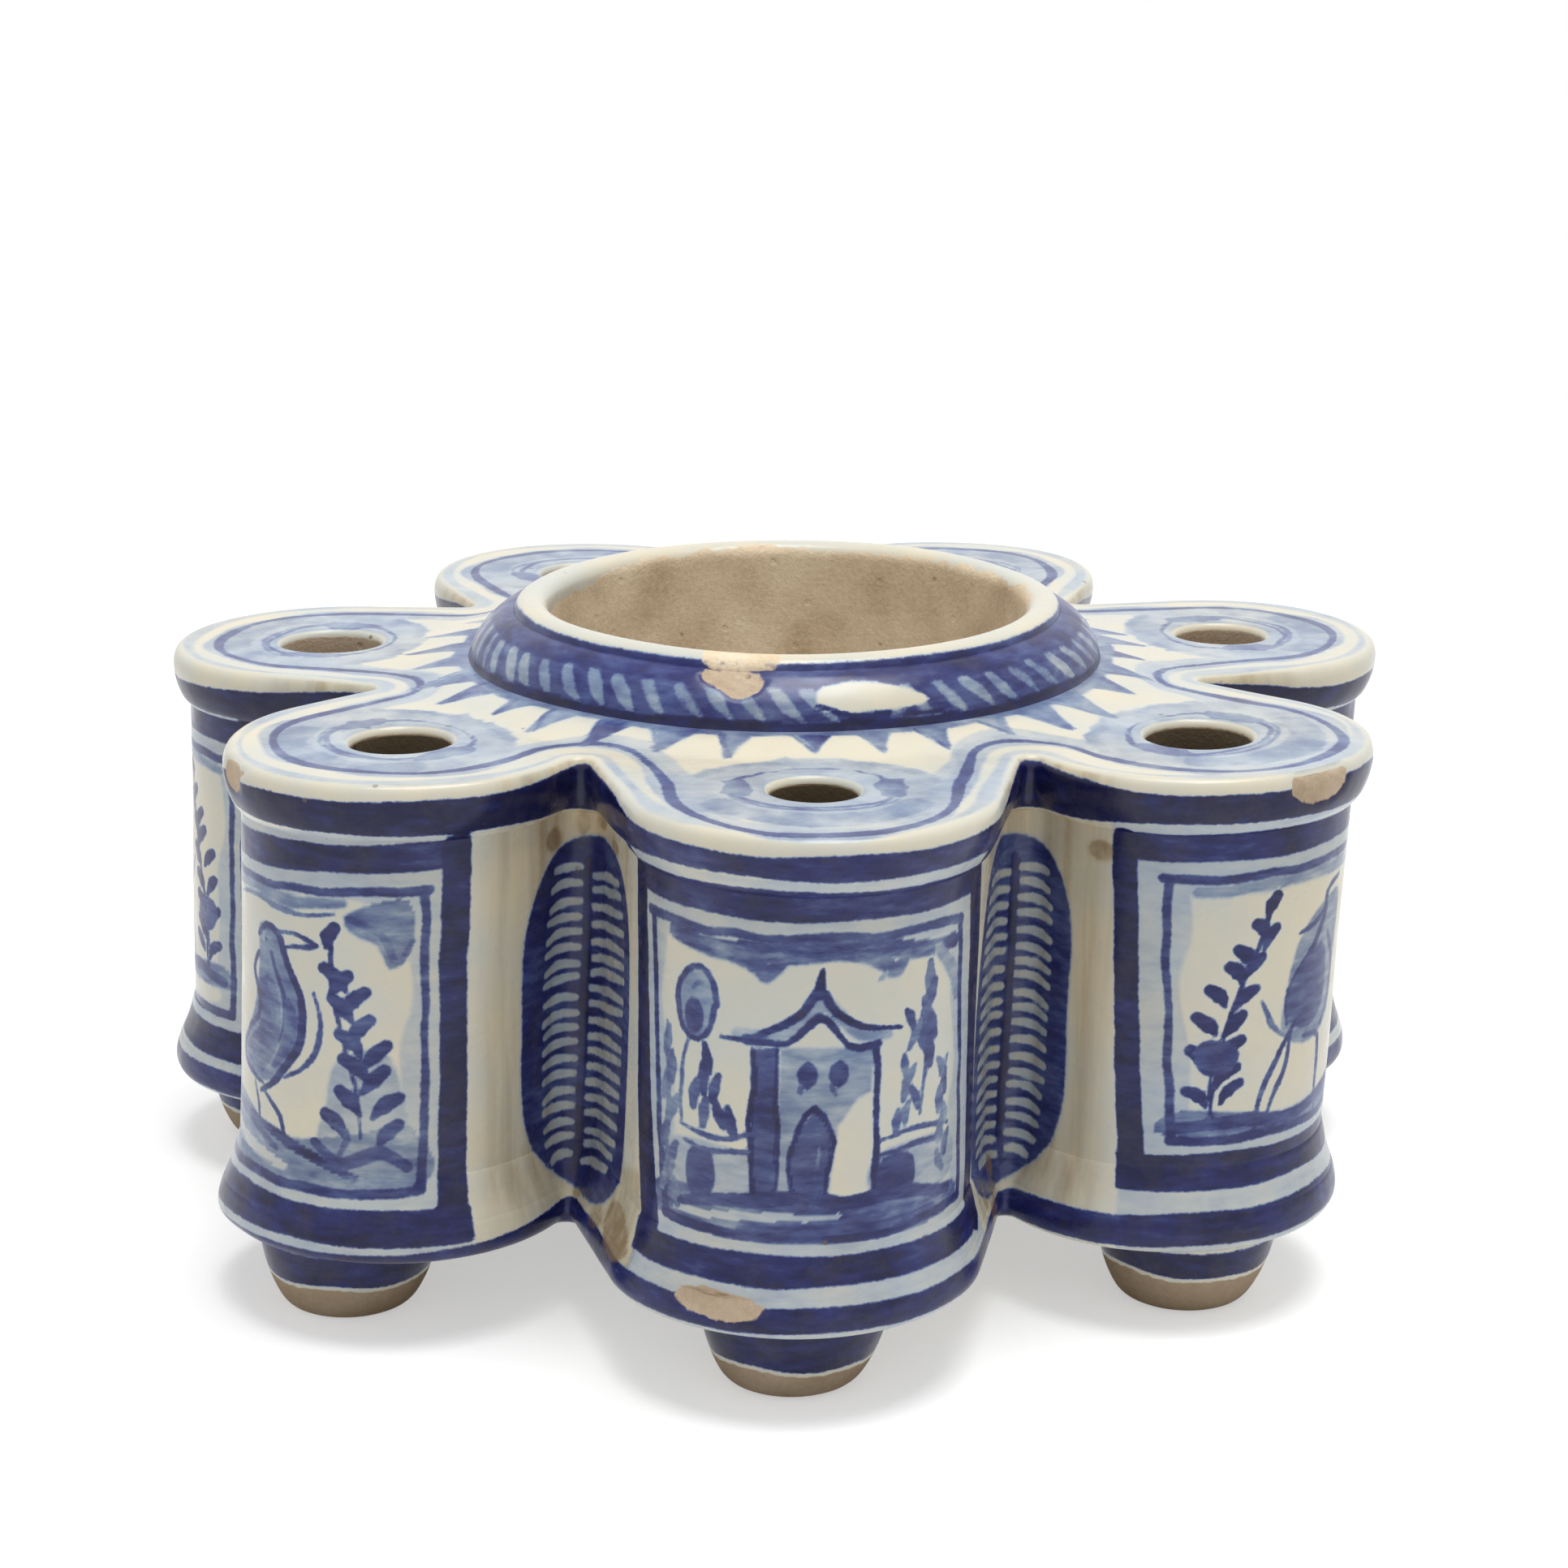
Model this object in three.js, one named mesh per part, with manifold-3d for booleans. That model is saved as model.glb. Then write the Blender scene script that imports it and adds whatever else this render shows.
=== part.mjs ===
// Faience inkwell: a seven-lobed stand with an ink well in the middle and a quill hole in every lobe.
// Millimetres, +Z up. Lobe 1 faces -Y, and the lobes are numbered anticlockwise seen from above.
// The potter made slabs, bent walls, a thrown well and seven bun feet, luted them with slip, and glazed
// and fired them as one. Each of those pieces is a mesh here, with a thin luting gap to its neighbours.
// A loose glazed cup stands in the well and holds the ink.
import * as THREE from "three";
import { mergeVertices } from "three/addons/utils/BufferGeometryUtils.js";
import Module from "manifold-3d";

const wasm = await Module();
wasm.setup();

// Plan: seven round lobes. Straight flanks run from them into the rounded bottoms of the grooves between.
const LOBES = 7;
const LOBE_CIRCLE = 63.4; // well axis to lobe axis
const LOBE_RADIUS = 20.9; // outside of a lobe's wall
const GROOVE_FLOOR = 55; // well axis to the bottom of a groove
const GROOVE_RADIUS = 3.5;
const BROAD_ROOT = THREE.MathUtils.degToRad(3); // lobe 1 pushes its grooves away by this, to either side
const WALL = 5;
const LUTING_GAP = 0.3;

// Heights
const FOOT_HEIGHT = 11.3;
const FLOOR_TOP = 16.4;
const COVE_TOP = 21.4;
const TOP_SLAB_UNDERSIDE = 66;
const TOP_SLAB_EDGE = 73.6;
const DOME_TOP = 75;
const RIM_HEIGHT = 83;

// Ink well and its collar
const WELL_RADIUS = 32.9; // inside, at the rim
const WELL_FLOOR_RADIUS = 31.6;
const WELL_FLOOR = 21.4;
const WELL_OUTER_RADIUS = 37.6;
const COLLAR_RADIUS = 43.2;

// Loose cup that stands on the well's floor
const INK_CUP_RADIUS = 29.6;
const INK_CUP_HEIGHT = 38;
const INK_CUP_WALL = 3.2;

// Feet. They were stuck on by hand, so each has its own reach from the well's axis, and foot 2 stands
// a little to one side of its lobe's middle.
const FOOT_REACHES = [69.9, 70.5, 70.4, 70.4, 70.4, 70.4, 71.6];
const FOOT_TURNS = [0, -3.1, 0, 0, 0, 0, 0].map(THREE.MathUtils.degToRad);
const FOOT_RADIUS = 11.7;
const FOOT_PAD_RADIUS = 7.6;

// Quill holes were cut by hand, so each has its own radius, from lobe 1 on
const HOLE_CIRCLE = 64.7;
const HOLE_RADII = [5.4, 6.7, 6.2, 6.1, 6.3, 6.9, 6.3];
const HOLE_EASING = 0.9; // rounding of a hole's upper edge

// The soft body leaned a little in the kiln: this much sideways for each millimetre of height
const LEAN = 0.037;

const LOBE_SEGMENTS = 14;
const GROOVE_SEGMENTS = 6;
const ROUND_SEGMENTS = 56;
const SMALL_ROUND_SEGMENTS = 24;

const STEP = (2 * Math.PI) / LOBES;
const FRONT = -Math.PI / 2;
const polar = (radius, angle) => new THREE.Vector2(radius * Math.cos(angle), radius * Math.sin(angle));
const lobeAngle = (index) => FRONT + index * STEP;

// Groove i lies between lobe i and the next one, all counted from 0
const grooveShift = (index) => ({ 0: BROAD_ROOT, [LOBES - 1]: -BROAD_ROOT })[index] ?? 0;
const grooveAngle = (index) => lobeAngle(index) + STEP / 2 + grooveShift(index);
const lobeCentre = (index) => polar(LOBE_CIRCLE, lobeAngle(index));
const grooveCentre = (index) => polar(GROOVE_FLOOR + GROOVE_RADIUS, grooveAngle(index));

// How far a lobe's arc turns from its own direction before a flank leaves it towards a groove that lies
// between radians round the body. The flank touches both arcs.
function lobeTurn(between) {
  const toGroove = polar(GROOVE_FLOOR + GROOVE_RADIUS, between).sub(polar(LOBE_CIRCLE, 0));
  return toGroove.angle() - Math.acos((LOBE_RADIUS + GROOVE_RADIUS) / toGroove.length());
}

const turnBack = (lobe) => lobeTurn(STEP / 2 - grooveShift((lobe + LOBES - 1) % LOBES));
const turnOn = (lobe) => lobeTurn(STEP / 2 + grooveShift(lobe));

const glaze = { color: 0xe3dfd2, roughness: 0.16, metalness: 0 };
const cobaltGlaze = { color: 0x3b4a86, roughness: 0.16, metalness: 0 };
const biscuit = { color: 0xc7b193, roughness: 0.85, metalness: 0 };

function arc(centre, radius, from, to, segments) {
  const points = [];
  for (let i = 0; i <= segments; i += 1) {
    points.push(polar(radius, from + ((to - from) * i) / segments).add(centre));
  }
  return points;
}

// A lobe's arc about its own centre, trimmed at either end by an angle
function lobeArc(lobe, radius, trim) {
  return arc(polar(0, 0), radius, trim - turnBack(lobe), turnOn(lobe) - trim, LOBE_SEGMENTS);
}

// A groove's arc in place. It turns the other way from the lobes' arcs.
function grooveArc(groove, grow) {
  const from = lobeAngle(groove) + turnOn(groove) + Math.PI;
  const to = lobeAngle(groove + 1) - turnBack((groove + 1) % LOBES) + Math.PI;
  return arc(grooveCentre(groove), GROOVE_RADIUS - grow, from, to, GROOVE_SEGMENTS);
}

// The body's outline in plan, grown outwards by a distance
function outline(grow) {
  const points = [];
  for (let lobe = 0; lobe < LOBES; lobe += 1) {
    for (const point of lobeArc(lobe, LOBE_RADIUS + grow, 0)) {
      points.push(point.rotateAround(new THREE.Vector2(), lobeAngle(lobe)).add(lobeCentre(lobe)));
    }
    points.push(...grooveArc(lobe, grow));
  }
  return points;
}

// Joins outlines, each { grow, z }, into one skin. The first and last outline get end faces, unless the
// section closes on itself to make a ring.
function loft(levels, closesOnItself) {
  const rings = levels.map(({ grow, z }) => outline(grow).map((p) => [p.x, p.y, z]));
  const count = rings[0].length;
  const index = [];
  const spans = closesOnItself ? rings.length : rings.length - 1;
  for (let level = 0; level < spans; level += 1) {
    const lower = level * count;
    const upper = ((level + 1) % rings.length) * count;
    for (let i = 0; i < count; i += 1) {
      const next = (i + 1) % count;
      index.push(lower + i, lower + next, upper + next, lower + i, upper + next, upper + i);
    }
  }
  if (!closesOnItself) {
    const last = spans * count;
    for (const [a, b, c] of THREE.ShapeUtils.triangulateShape(outline(levels[0].grow), [])) {
      index.push(c, b, a, last + a, last + b, last + c);
    }
  }
  const geometry = new THREE.BufferGeometry();
  geometry.setAttribute("position", new THREE.Float32BufferAttribute(rings.flat(2), 3));
  geometry.setIndex(index);
  return geometry;
}

// A turned piece. Its profile points are [radius, height], in the order that makes its faces point out.
function turned(profile, segments) {
  const points = profile.map(([radius, height]) => new THREE.Vector2(radius, height));
  return new THREE.LatheGeometry(points, segments).rotateX(Math.PI / 2);
}

function plug(radius, bottom, top, segments) {
  return turned([[0, bottom], [radius, bottom], [radius, top], [0, top]], segments);
}

function solidOf(geometry) {
  const bare = geometry.clone();
  bare.deleteAttribute("normal");
  bare.deleteAttribute("uv");
  const merged = mergeVertices(bare, 1e-3);
  return new wasm.Manifold(
    new wasm.Mesh({
      numProp: 3,
      vertProperties: merged.attributes.position.array,
      triVerts: new Uint32Array(merged.index.array),
    }),
  );
}

function geometryOf(solid) {
  const mesh = solid.getMesh();
  const geometry = new THREE.BufferGeometry();
  geometry.setAttribute("position", new THREE.Float32BufferAttribute(mesh.vertProperties, 3));
  geometry.setIndex(new THREE.Uint32BufferAttribute(mesh.triVerts, 1));
  geometry.computeVertexNormals();
  return geometry;
}

// An upright wall between two paths in plan that run the same way
function uprightWall(outer, inner, bottom, top) {
  const section = new THREE.Shape([...outer, ...inner.reverse()]);
  const wall = new THREE.ExtrudeGeometry(section, { depth: top - bottom, bevelEnabled: false });
  return wall.translate(0, 0, bottom);
}

// The slab that all stands on. Its edge is a fat bead, with a slope above it that the cove carries on.
function floorSlab() {
  const bead = [
    { grow: -1, z: FOOT_HEIGHT },
    { grow: 0.8, z: FOOT_HEIGHT + 0.1 },
    { grow: 2, z: FOOT_HEIGHT + 0.6 },
    { grow: 2.6, z: FOOT_HEIGHT + 1.6 },
    { grow: 2.6, z: FOOT_HEIGHT + 2.9 },
    { grow: 1.9, z: FLOOR_TOP },
  ];
  return loft(bead, false);
}

// The strip pressed into the corner of wall and floor
function baseCove() {
  const bottom = FLOOR_TOP + LUTING_GAP;
  const section = [
    { grow: LUTING_GAP, z: bottom },
    { grow: 1.8, z: bottom },
    { grow: 1.3, z: bottom + 1.2 },
    { grow: 0.8, z: bottom + 2.8 },
    { grow: 0.5, z: COVE_TOP },
    { grow: LUTING_GAP, z: COVE_TOP },
  ];
  return loft(section, true);
}

function quillHole(index) {
  const radius = HOLE_RADII[index];
  const profile = [
    [0, TOP_SLAB_UNDERSIDE - 1],
    [radius, TOP_SLAB_UNDERSIDE - 1],
    [radius, TOP_SLAB_EDGE - HOLE_EASING],
    [radius + HOLE_EASING, TOP_SLAB_EDGE],
    [radius + HOLE_EASING, DOME_TOP],
    [0, DOME_TOP],
  ];
  const centre = polar(HOLE_CIRCLE, lobeAngle(index));
  return turned(profile, SMALL_ROUND_SEGMENTS).translate(centre.x, centre.y, 0);
}

// The lobed top, with a rounded edge that overhangs the walls and a dome that rises to the collar
function topSlab() {
  const nosing = [
    { grow: 0.4, z: TOP_SLAB_UNDERSIDE },
    { grow: 1.3, z: TOP_SLAB_UNDERSIDE + 1.3 },
    { grow: 2, z: TOP_SLAB_UNDERSIDE + 3.2 },
    { grow: 2.3, z: TOP_SLAB_UNDERSIDE + 5.4 },
    { grow: 2, z: TOP_SLAB_EDGE - 0.6 },
    { grow: 1, z: TOP_SLAB_EDGE },
  ];
  const domeReach = LOBE_CIRCLE - LOBE_RADIUS + 11;
  const dome = turned(
    [
      [0, TOP_SLAB_EDGE - 1],
      [domeReach, TOP_SLAB_EDGE - 1],
      [domeReach, TOP_SLAB_EDGE],
      [COLLAR_RADIUS + 0.6, DOME_TOP],
      [0, DOME_TOP],
    ],
    ROUND_SEGMENTS,
  );
  const openingRadius = WELL_OUTER_RADIUS + LUTING_GAP;
  const opening = plug(openingRadius, TOP_SLAB_UNDERSIDE - 1, DOME_TOP + 1, ROUND_SEGMENTS);
  let slab = solidOf(loft(nosing, false)).add(solidOf(dome)).subtract(solidOf(opening));
  for (let lobe = 0; lobe < LOBES; lobe += 1) {
    slab = slab.subtract(solidOf(quillHole(lobe)));
  }
  return geometryOf(slab);
}

// The thrown well stands on the floor slab and rises through the top slab to the rim
function inkWell() {
  const profile = [
    [0, FLOOR_TOP + LUTING_GAP],
    [WELL_OUTER_RADIUS - 1.2, FLOOR_TOP + LUTING_GAP],
    [WELL_OUTER_RADIUS, FLOOR_TOP + 2],
    [WELL_OUTER_RADIUS, RIM_HEIGHT - 1.6],
    [WELL_OUTER_RADIUS - 0.7, RIM_HEIGHT - 0.5],
    [WELL_OUTER_RADIUS - 2.1, RIM_HEIGHT],
    [WELL_RADIUS + 0.8, RIM_HEIGHT - 0.3],
    [WELL_RADIUS, RIM_HEIGHT - 1.3],
    [WELL_FLOOR_RADIUS, WELL_FLOOR],
    [0, WELL_FLOOR],
  ];
  return turned(profile, ROUND_SEGMENTS);
}

// The sloping band about the well's neck that is painted as a rope
function ropeCollar() {
  const bottom = DOME_TOP + LUTING_GAP;
  const inner = WELL_OUTER_RADIUS + LUTING_GAP;
  const profile = [
    [inner, bottom],
    [COLLAR_RADIUS, bottom],
    [COLLAR_RADIUS - 0.3, bottom + 1.1],
    [COLLAR_RADIUS - 1.4, bottom + 3],
    [COLLAR_RADIUS - 3, bottom + 4.7],
    [COLLAR_RADIUS - 4.6, bottom + 5.8],
    [inner, bottom + 6.1],
    [inner, bottom],
  ];
  return turned(profile, ROUND_SEGMENTS);
}

function bunFoot() {
  const top = FOOT_HEIGHT - LUTING_GAP;
  const profile = [
    [0, 0],
    [FOOT_PAD_RADIUS, 0],
    [FOOT_PAD_RADIUS + 1, 0.8],
    [FOOT_RADIUS - 2.2, 2.2],
    [FOOT_RADIUS - 1.3, 4.2],
    [FOOT_RADIUS - 0.3, 7],
    [FOOT_RADIUS, 9.4],
    [FOOT_RADIUS, top],
    [0, top],
  ];
  return turned(profile, SMALL_ROUND_SEGMENTS);
}

function inkCup() {
  const bottom = WELL_FLOOR + LUTING_GAP;
  const rim = bottom + INK_CUP_HEIGHT;
  const inside = INK_CUP_RADIUS - INK_CUP_WALL;
  const profile = [
    [0, bottom],
    [INK_CUP_RADIUS - 4, bottom],
    [INK_CUP_RADIUS - 1.2, bottom + 1.4],
    [INK_CUP_RADIUS, bottom + 5],
    [INK_CUP_RADIUS, rim - 1],
    [INK_CUP_RADIUS - 0.9, rim],
    [inside + 0.9, rim],
    [inside, rim - 1],
    [inside, bottom + 8],
    [inside - 4, bottom + 4],
    [0, bottom + 3.4],
  ];
  return turned(profile, ROUND_SEGMENTS);
}

const body = new THREE.Group();

function place(name, geometry, finish, radius = 0, angle = 0) {
  const mesh = new THREE.Mesh(geometry, new THREE.MeshStandardMaterial(finish));
  mesh.name = name;
  const centre = polar(radius, angle);
  mesh.position.set(centre.x, centre.y, 0);
  mesh.rotation.z = angle;
  body.add(mesh);
}

place("floor_slab", floorSlab(), cobaltGlaze);
place("base_cove", baseCove(), cobaltGlaze);
place("top_slab", topSlab(), glaze);
place("ink_well", inkWell(), biscuit);
place("rope_collar", ropeCollar(), cobaltGlaze);
place("ink_cup", inkCup(), glaze);

const wallBottom = FLOOR_TOP + LUTING_GAP;
const wallTop = TOP_SLAB_UNDERSIDE - LUTING_GAP;
for (let lobe = 0; lobe < LOBES; lobe += 1) {
  const facing = lobeAngle(lobe);
  const number = lobe + 1;
  const innerRadius = LOBE_RADIUS - WALL;
  const trim = LUTING_GAP / innerRadius;
  const outerArc = lobeArc(lobe, LOBE_RADIUS, trim);
  const lobeWall = uprightWall(outerArc, lobeArc(lobe, innerRadius, trim), wallBottom, wallTop);
  place(`lobe_wall_${number}`, lobeWall, glaze, LOBE_CIRCLE, facing);

  // A groove panel takes in the flanks to either side, up to where the lobes' walls end
  const panelPath = (grow) => {
    const start = polar(LOBE_RADIUS + grow, facing + turnOn(lobe)).add(lobeCentre(lobe));
    const endTurn = lobeAngle(lobe + 1) - turnBack((lobe + 1) % LOBES);
    const end = polar(LOBE_RADIUS + grow, endTurn).add(lobeCentre(lobe + 1));
    return [start, ...grooveArc(lobe, grow), end];
  };
  const panel = uprightWall(panelPath(0), panelPath(-WALL), wallBottom, wallTop);
  place(`groove_panel_${number}`, panel, glaze);

  place(`foot_${number}`, bunFoot(), cobaltGlaze, FOOT_REACHES[lobe], facing + FOOT_TURNS[lobe]);
}

// Lean the body, then stand the centre of its bounding box over the origin
const leaning = new THREE.Group();
leaning.matrixAutoUpdate = false;
leaning.matrix.makeShear(0, 0, 0, 0, LEAN, 0);
leaning.add(body);
leaning.updateMatrixWorld(true);
const centre = new THREE.Box3().setFromObject(leaning, true).getCenter(new THREE.Vector3());

const inkwell = new THREE.Group();
inkwell.position.set(-centre.x, -centre.y, 0);
inkwell.add(leaning);

export default inkwell;
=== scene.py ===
import math

import bpy
import numpy as np
from mathutils import Euler, Matrix, Vector


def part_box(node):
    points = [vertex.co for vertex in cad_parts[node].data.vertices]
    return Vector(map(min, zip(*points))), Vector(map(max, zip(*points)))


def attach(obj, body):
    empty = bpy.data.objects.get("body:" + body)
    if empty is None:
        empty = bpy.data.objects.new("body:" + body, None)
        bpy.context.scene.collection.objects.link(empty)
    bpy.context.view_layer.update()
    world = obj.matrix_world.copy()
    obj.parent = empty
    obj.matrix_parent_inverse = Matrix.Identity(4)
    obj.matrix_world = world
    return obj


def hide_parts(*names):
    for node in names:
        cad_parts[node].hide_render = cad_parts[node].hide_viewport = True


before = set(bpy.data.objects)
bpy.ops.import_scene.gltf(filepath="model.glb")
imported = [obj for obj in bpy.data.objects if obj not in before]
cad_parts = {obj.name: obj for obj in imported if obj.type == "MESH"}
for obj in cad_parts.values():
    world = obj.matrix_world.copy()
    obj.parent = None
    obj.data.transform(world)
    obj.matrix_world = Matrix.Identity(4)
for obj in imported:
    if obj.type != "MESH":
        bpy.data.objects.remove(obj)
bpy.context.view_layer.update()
print("frame loaded,", len(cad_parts), "CAD nodes")

# Everything is shaped in millimetres, upright about the well's axis, and settled into the frame last
pot = {
    "lobes": 7,
    "lobeCircle": 63.4,  # well axis to lobe axis
    "lobeRadius": 20.9,
    "grooveFloor": 55.0,  # well axis to the bottom of a groove
    "grooveRadius": 3.5,
    "broadRoot": math.radians(3),  # the front lobe pushes its two grooves away by this
    "wall": 5.0,
    "lean": 0.037,  # sideways for each millimetre of height
    "floorTop": 16.4,
    "slabUnderside": 66.0,
    "slabEdge": 73.6,
    "domeTop": 75.0,
    "domeReach": 53.4,
    "domeFoot": 43.8,
    "neck": 37.9,
}
millimetre = 0.001  # the frame is in metres
lobeStep = 2 * math.pi / pot["lobes"]
backLobe = pot["lobes"] // 2 + 1
lobesFromBack = [(backLobe + step) % pot["lobes"] for step in range(pot["lobes"])]
frontLobes = (0, 1, pot["lobes"] - 1)  # the three whose pictures show in the photo
wellLow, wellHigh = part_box("ink_well")
wellMiddle = (wellLow + wellHigh) / 2 / millimetre
axisX = wellMiddle.x - pot["lean"] * wellMiddle.z
axisY = wellMiddle.y


def lobeAngle(lobe):
    return lobeStep * lobe - math.pi / 2


def grooveShift(groove):
    return {0: pot["broadRoot"], pot["lobes"] - 1: -pot["broadRoot"]}.get(groove % pot["lobes"], 0.0)


def grooveAngle(groove):
    return lobeAngle(groove) + lobeStep / 2 + grooveShift(groove)


def polar(radius, angle):
    return np.array([radius * np.cos(angle), radius * np.sin(angle)]).T


def lobeTurn(between):  # how far a lobe's arc turns before its straight flank leaves it
    toGroove = polar(pot["grooveFloor"] + pot["grooveRadius"], between) - np.array([pot["lobeCircle"], 0])
    reach = pot["lobeRadius"] + pot["grooveRadius"]
    return math.atan2(toGroove[1], toGroove[0]) - math.acos(reach / np.hypot(*toGroove))


def turnBack(lobe):
    return lobeTurn(lobeStep / 2 - grooveShift(lobe - 1))


def turnOn(lobe):
    return lobeTurn(lobeStep / 2 + grooveShift(lobe))


def lobeCentre(lobe):
    return polar(pot["lobeCircle"], lobeAngle(lobe))


# The wall's path in plan, as places and outward headings by girth: millimetres along the wall, from the
# front lobe's middle, growing to the right as seen from outside. It starts and ends at the back.
pathPoints = {"lobe": 801, "groove": 201}


def wallPath():
    places, headings, marks = [], [], {"lobeStart": {}, "lobeMiddle": {}, "lobeEnd": {}, "groove": {}}
    onLobe, inGroove = pathPoints["lobe"], pathPoints["groove"]
    count = 0
    for lobe in lobesFromBack:
        facing = lobeAngle(lobe) + (2 * math.pi if lobe < backLobe else 0)
        turns = np.linspace(facing - turnBack(lobe), facing + turnOn(lobe), onLobe)
        places.append(lobeCentre(lobe) + polar(pot["lobeRadius"], turns))
        headings.append(turns)
        marks["lobeStart"][lobe] = count
        marks["lobeMiddle"][lobe] = count + np.searchsorted(turns, facing)
        marks["lobeEnd"][lobe] = count + onLobe - 1
        grooveEnd = facing + lobeStep - turnBack((lobe + 1) % pot["lobes"])
        bends = np.linspace(facing + turnOn(lobe), grooveEnd, inGroove)
        centre = polar(pot["grooveFloor"] + pot["grooveRadius"], grooveAngle(lobe))
        places.append(centre - polar(pot["grooveRadius"], bends))
        headings.append(bends)
        bottom = grooveAngle(lobe) + (2 * math.pi if lobe < backLobe else 0)
        marks["groove"][lobe] = count + onLobe + np.interp(bottom, bends[::-1], np.arange(inGroove)[::-1])
        count += onLobe + inGroove
    places.append(places[0][:1])
    headings.append(headings[0][:1] + 2 * math.pi)
    places, headings = np.concatenate(places), np.concatenate(headings)
    girths = np.concatenate([[0.0], np.cumsum(np.hypot(*np.diff(places, axis=0).T))])
    girths -= girths[marks["lobeMiddle"][0]]
    counts = np.arange(len(girths))
    for spots in marks.values():
        for lobe, at in spots.items():
            spots[lobe] = np.interp(at, counts, girths)
    return places, headings, girths, marks


pathPlaces, pathHeadings, pathGirths, wallMarks = wallPath()
fullGirth = pathGirths[-1] - pathGirths[0]


def alongWall(girths):  # the places and headings at some girths, round and round
    rounds = np.floor((girths - pathGirths[0]) / fullGirth)
    girths = girths - rounds * fullGirth
    place = np.array([np.interp(girths, pathGirths, pathPlaces[:, axis]) for axis in (0, 1)]).T
    return place, np.interp(girths, pathGirths, pathHeadings)


def grown(girths, grow):  # the path, moved outwards
    place, heading = alongWall(girths)
    return place + grow[:, None] * polar(1.0, heading)


curveSteps = 24  # steps from corner to corner, before a curve is spaced evenly


def smoothCurve(corners, spacing):  # a Catmull-Rom curve through the corners, at about even spacing
    corners = np.array(corners, float)
    ends = np.vstack([2 * corners[0] - corners[1], corners, 2 * corners[-1] - corners[-2]])
    runs = []
    for a, b, c, d in zip(ends, ends[1:], ends[2:], ends[3:]):
        t = np.linspace(0, 1, curveSteps + 1)[:-1, None]
        runs.append(0.5 * (2 * b + (c - a) * t + (2 * a - 5 * b + 4 * c - d) * t**2
                           + (3 * b - a - 3 * c + d) * t**3))
    curve = np.vstack(runs + [corners[-1:]])
    length = np.concatenate([[0.0], np.cumsum(np.linalg.norm(np.diff(curve, axis=0), axis=1))])
    at = np.linspace(0, length[-1], max(3, int(round(length[-1] / spacing)) + 1))
    return np.array([np.interp(at, length, column) for column in curve.T]).T


# Tools for a piece's mesh
meshing = {"mergeWithin": 0.002, "smoothAngle": math.radians(40)}


def startClean():
    if bpy.context.object and bpy.context.object.mode != "OBJECT":
        bpy.ops.object.mode_set(mode="OBJECT")
    bpy.ops.object.select_all(action="DESELECT")


def pickAlone(piece):
    startClean()
    piece.select_set(True)
    bpy.context.view_layer.objects.active = piece


def vertexPlaces(piece):
    flat = np.empty(len(piece.data.vertices) * 3, np.float32)
    piece.data.vertices.foreach_get("co", flat)
    return flat.reshape(-1, 3).astype(float)


def moveVertices(piece, places):
    piece.data.vertices.foreach_set("co", places.astype(np.float32).ravel())
    piece.data.update()


def setAttribute(piece, name, values):
    kind = "FLOAT" if values.ndim == 1 else "FLOAT_VECTOR"
    attribute = piece.data.attributes.get(name) or piece.data.attributes.new(name, kind, "POINT")
    attribute.data.foreach_set("value" if values.ndim == 1 else "vector", values.astype(np.float32).ravel())


def getAttribute(piece, name):
    values = np.empty(len(piece.data.vertices), np.float32)
    piece.data.attributes[name].data.foreach_get("value", values)
    return values.astype(float)


def sheetOfGrid(name, across, up):  # a grid primitive, and each vertex's column and row
    startClean()
    bpy.ops.mesh.primitive_grid_add(x_subdivisions=across - 1, y_subdivisions=up - 1, size=1)
    piece = bpy.context.object
    piece.name = name
    spots = vertexPlaces(piece)
    columns = np.rint((spots[:, 0] + 0.5) * (across - 1)).astype(int)
    rows = np.rint((spots[:, 1] + 0.5) * (up - 1)).astype(int)
    return piece, columns, rows


def closeUp(piece, fill=False):  # merge doubles, close open ends, face outwards
    pickAlone(piece)
    bpy.ops.object.mode_set(mode="EDIT")
    bpy.ops.mesh.select_all(action="SELECT")
    bpy.ops.mesh.remove_doubles(threshold=meshing["mergeWithin"])
    bpy.ops.mesh.select_all(action="SELECT")
    if fill:
        bpy.ops.mesh.fill_holes(sides=0)
        bpy.ops.mesh.select_all(action="SELECT")
    bpy.ops.mesh.normals_make_consistent(inside=False)
    bpy.ops.object.mode_set(mode="OBJECT")


# The potter's hand: slow waves that all the pieces share. Each has its size in mm, its lengths along x, y
# and z in mm for each radian, where 0 is no change, and its phase.
handWaves = {
    "sideways": [(0.16, (17, 0, 31), 0.0), (0.12, (0, 12, -23), 1.3), (0.05, (9, 0, 5), 0.0)],
    "inwards": [(0.14, (0, 15, 27), 0.4), (0.12, (13, 0, -19), 0.0), (0.05, (0, -8, 6), 0.0)],
    "upwards": [(0.12, (21, 17, 0), 0.0), (0.1, (9, -11, 0), 2.1)],
}
flatFoot = 12.0  # mm of height over which the waves upwards grow from nothing


def waveShift(places, waves):
    shift = np.zeros(len(places))
    for size, lengths, phase in waves:
        turns = sum(places[:, axis] / length for axis, length in enumerate(lengths) if length)
        shift += size * np.sin(turns + phase)
    return shift


def handWaver(places):
    shifts = [waveShift(places, waves) for waves in handWaves.values()]
    shifts[2] *= np.clip(places[:, 2] / flatFoot, 0, 1)
    return places + np.array(shifts).T


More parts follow.
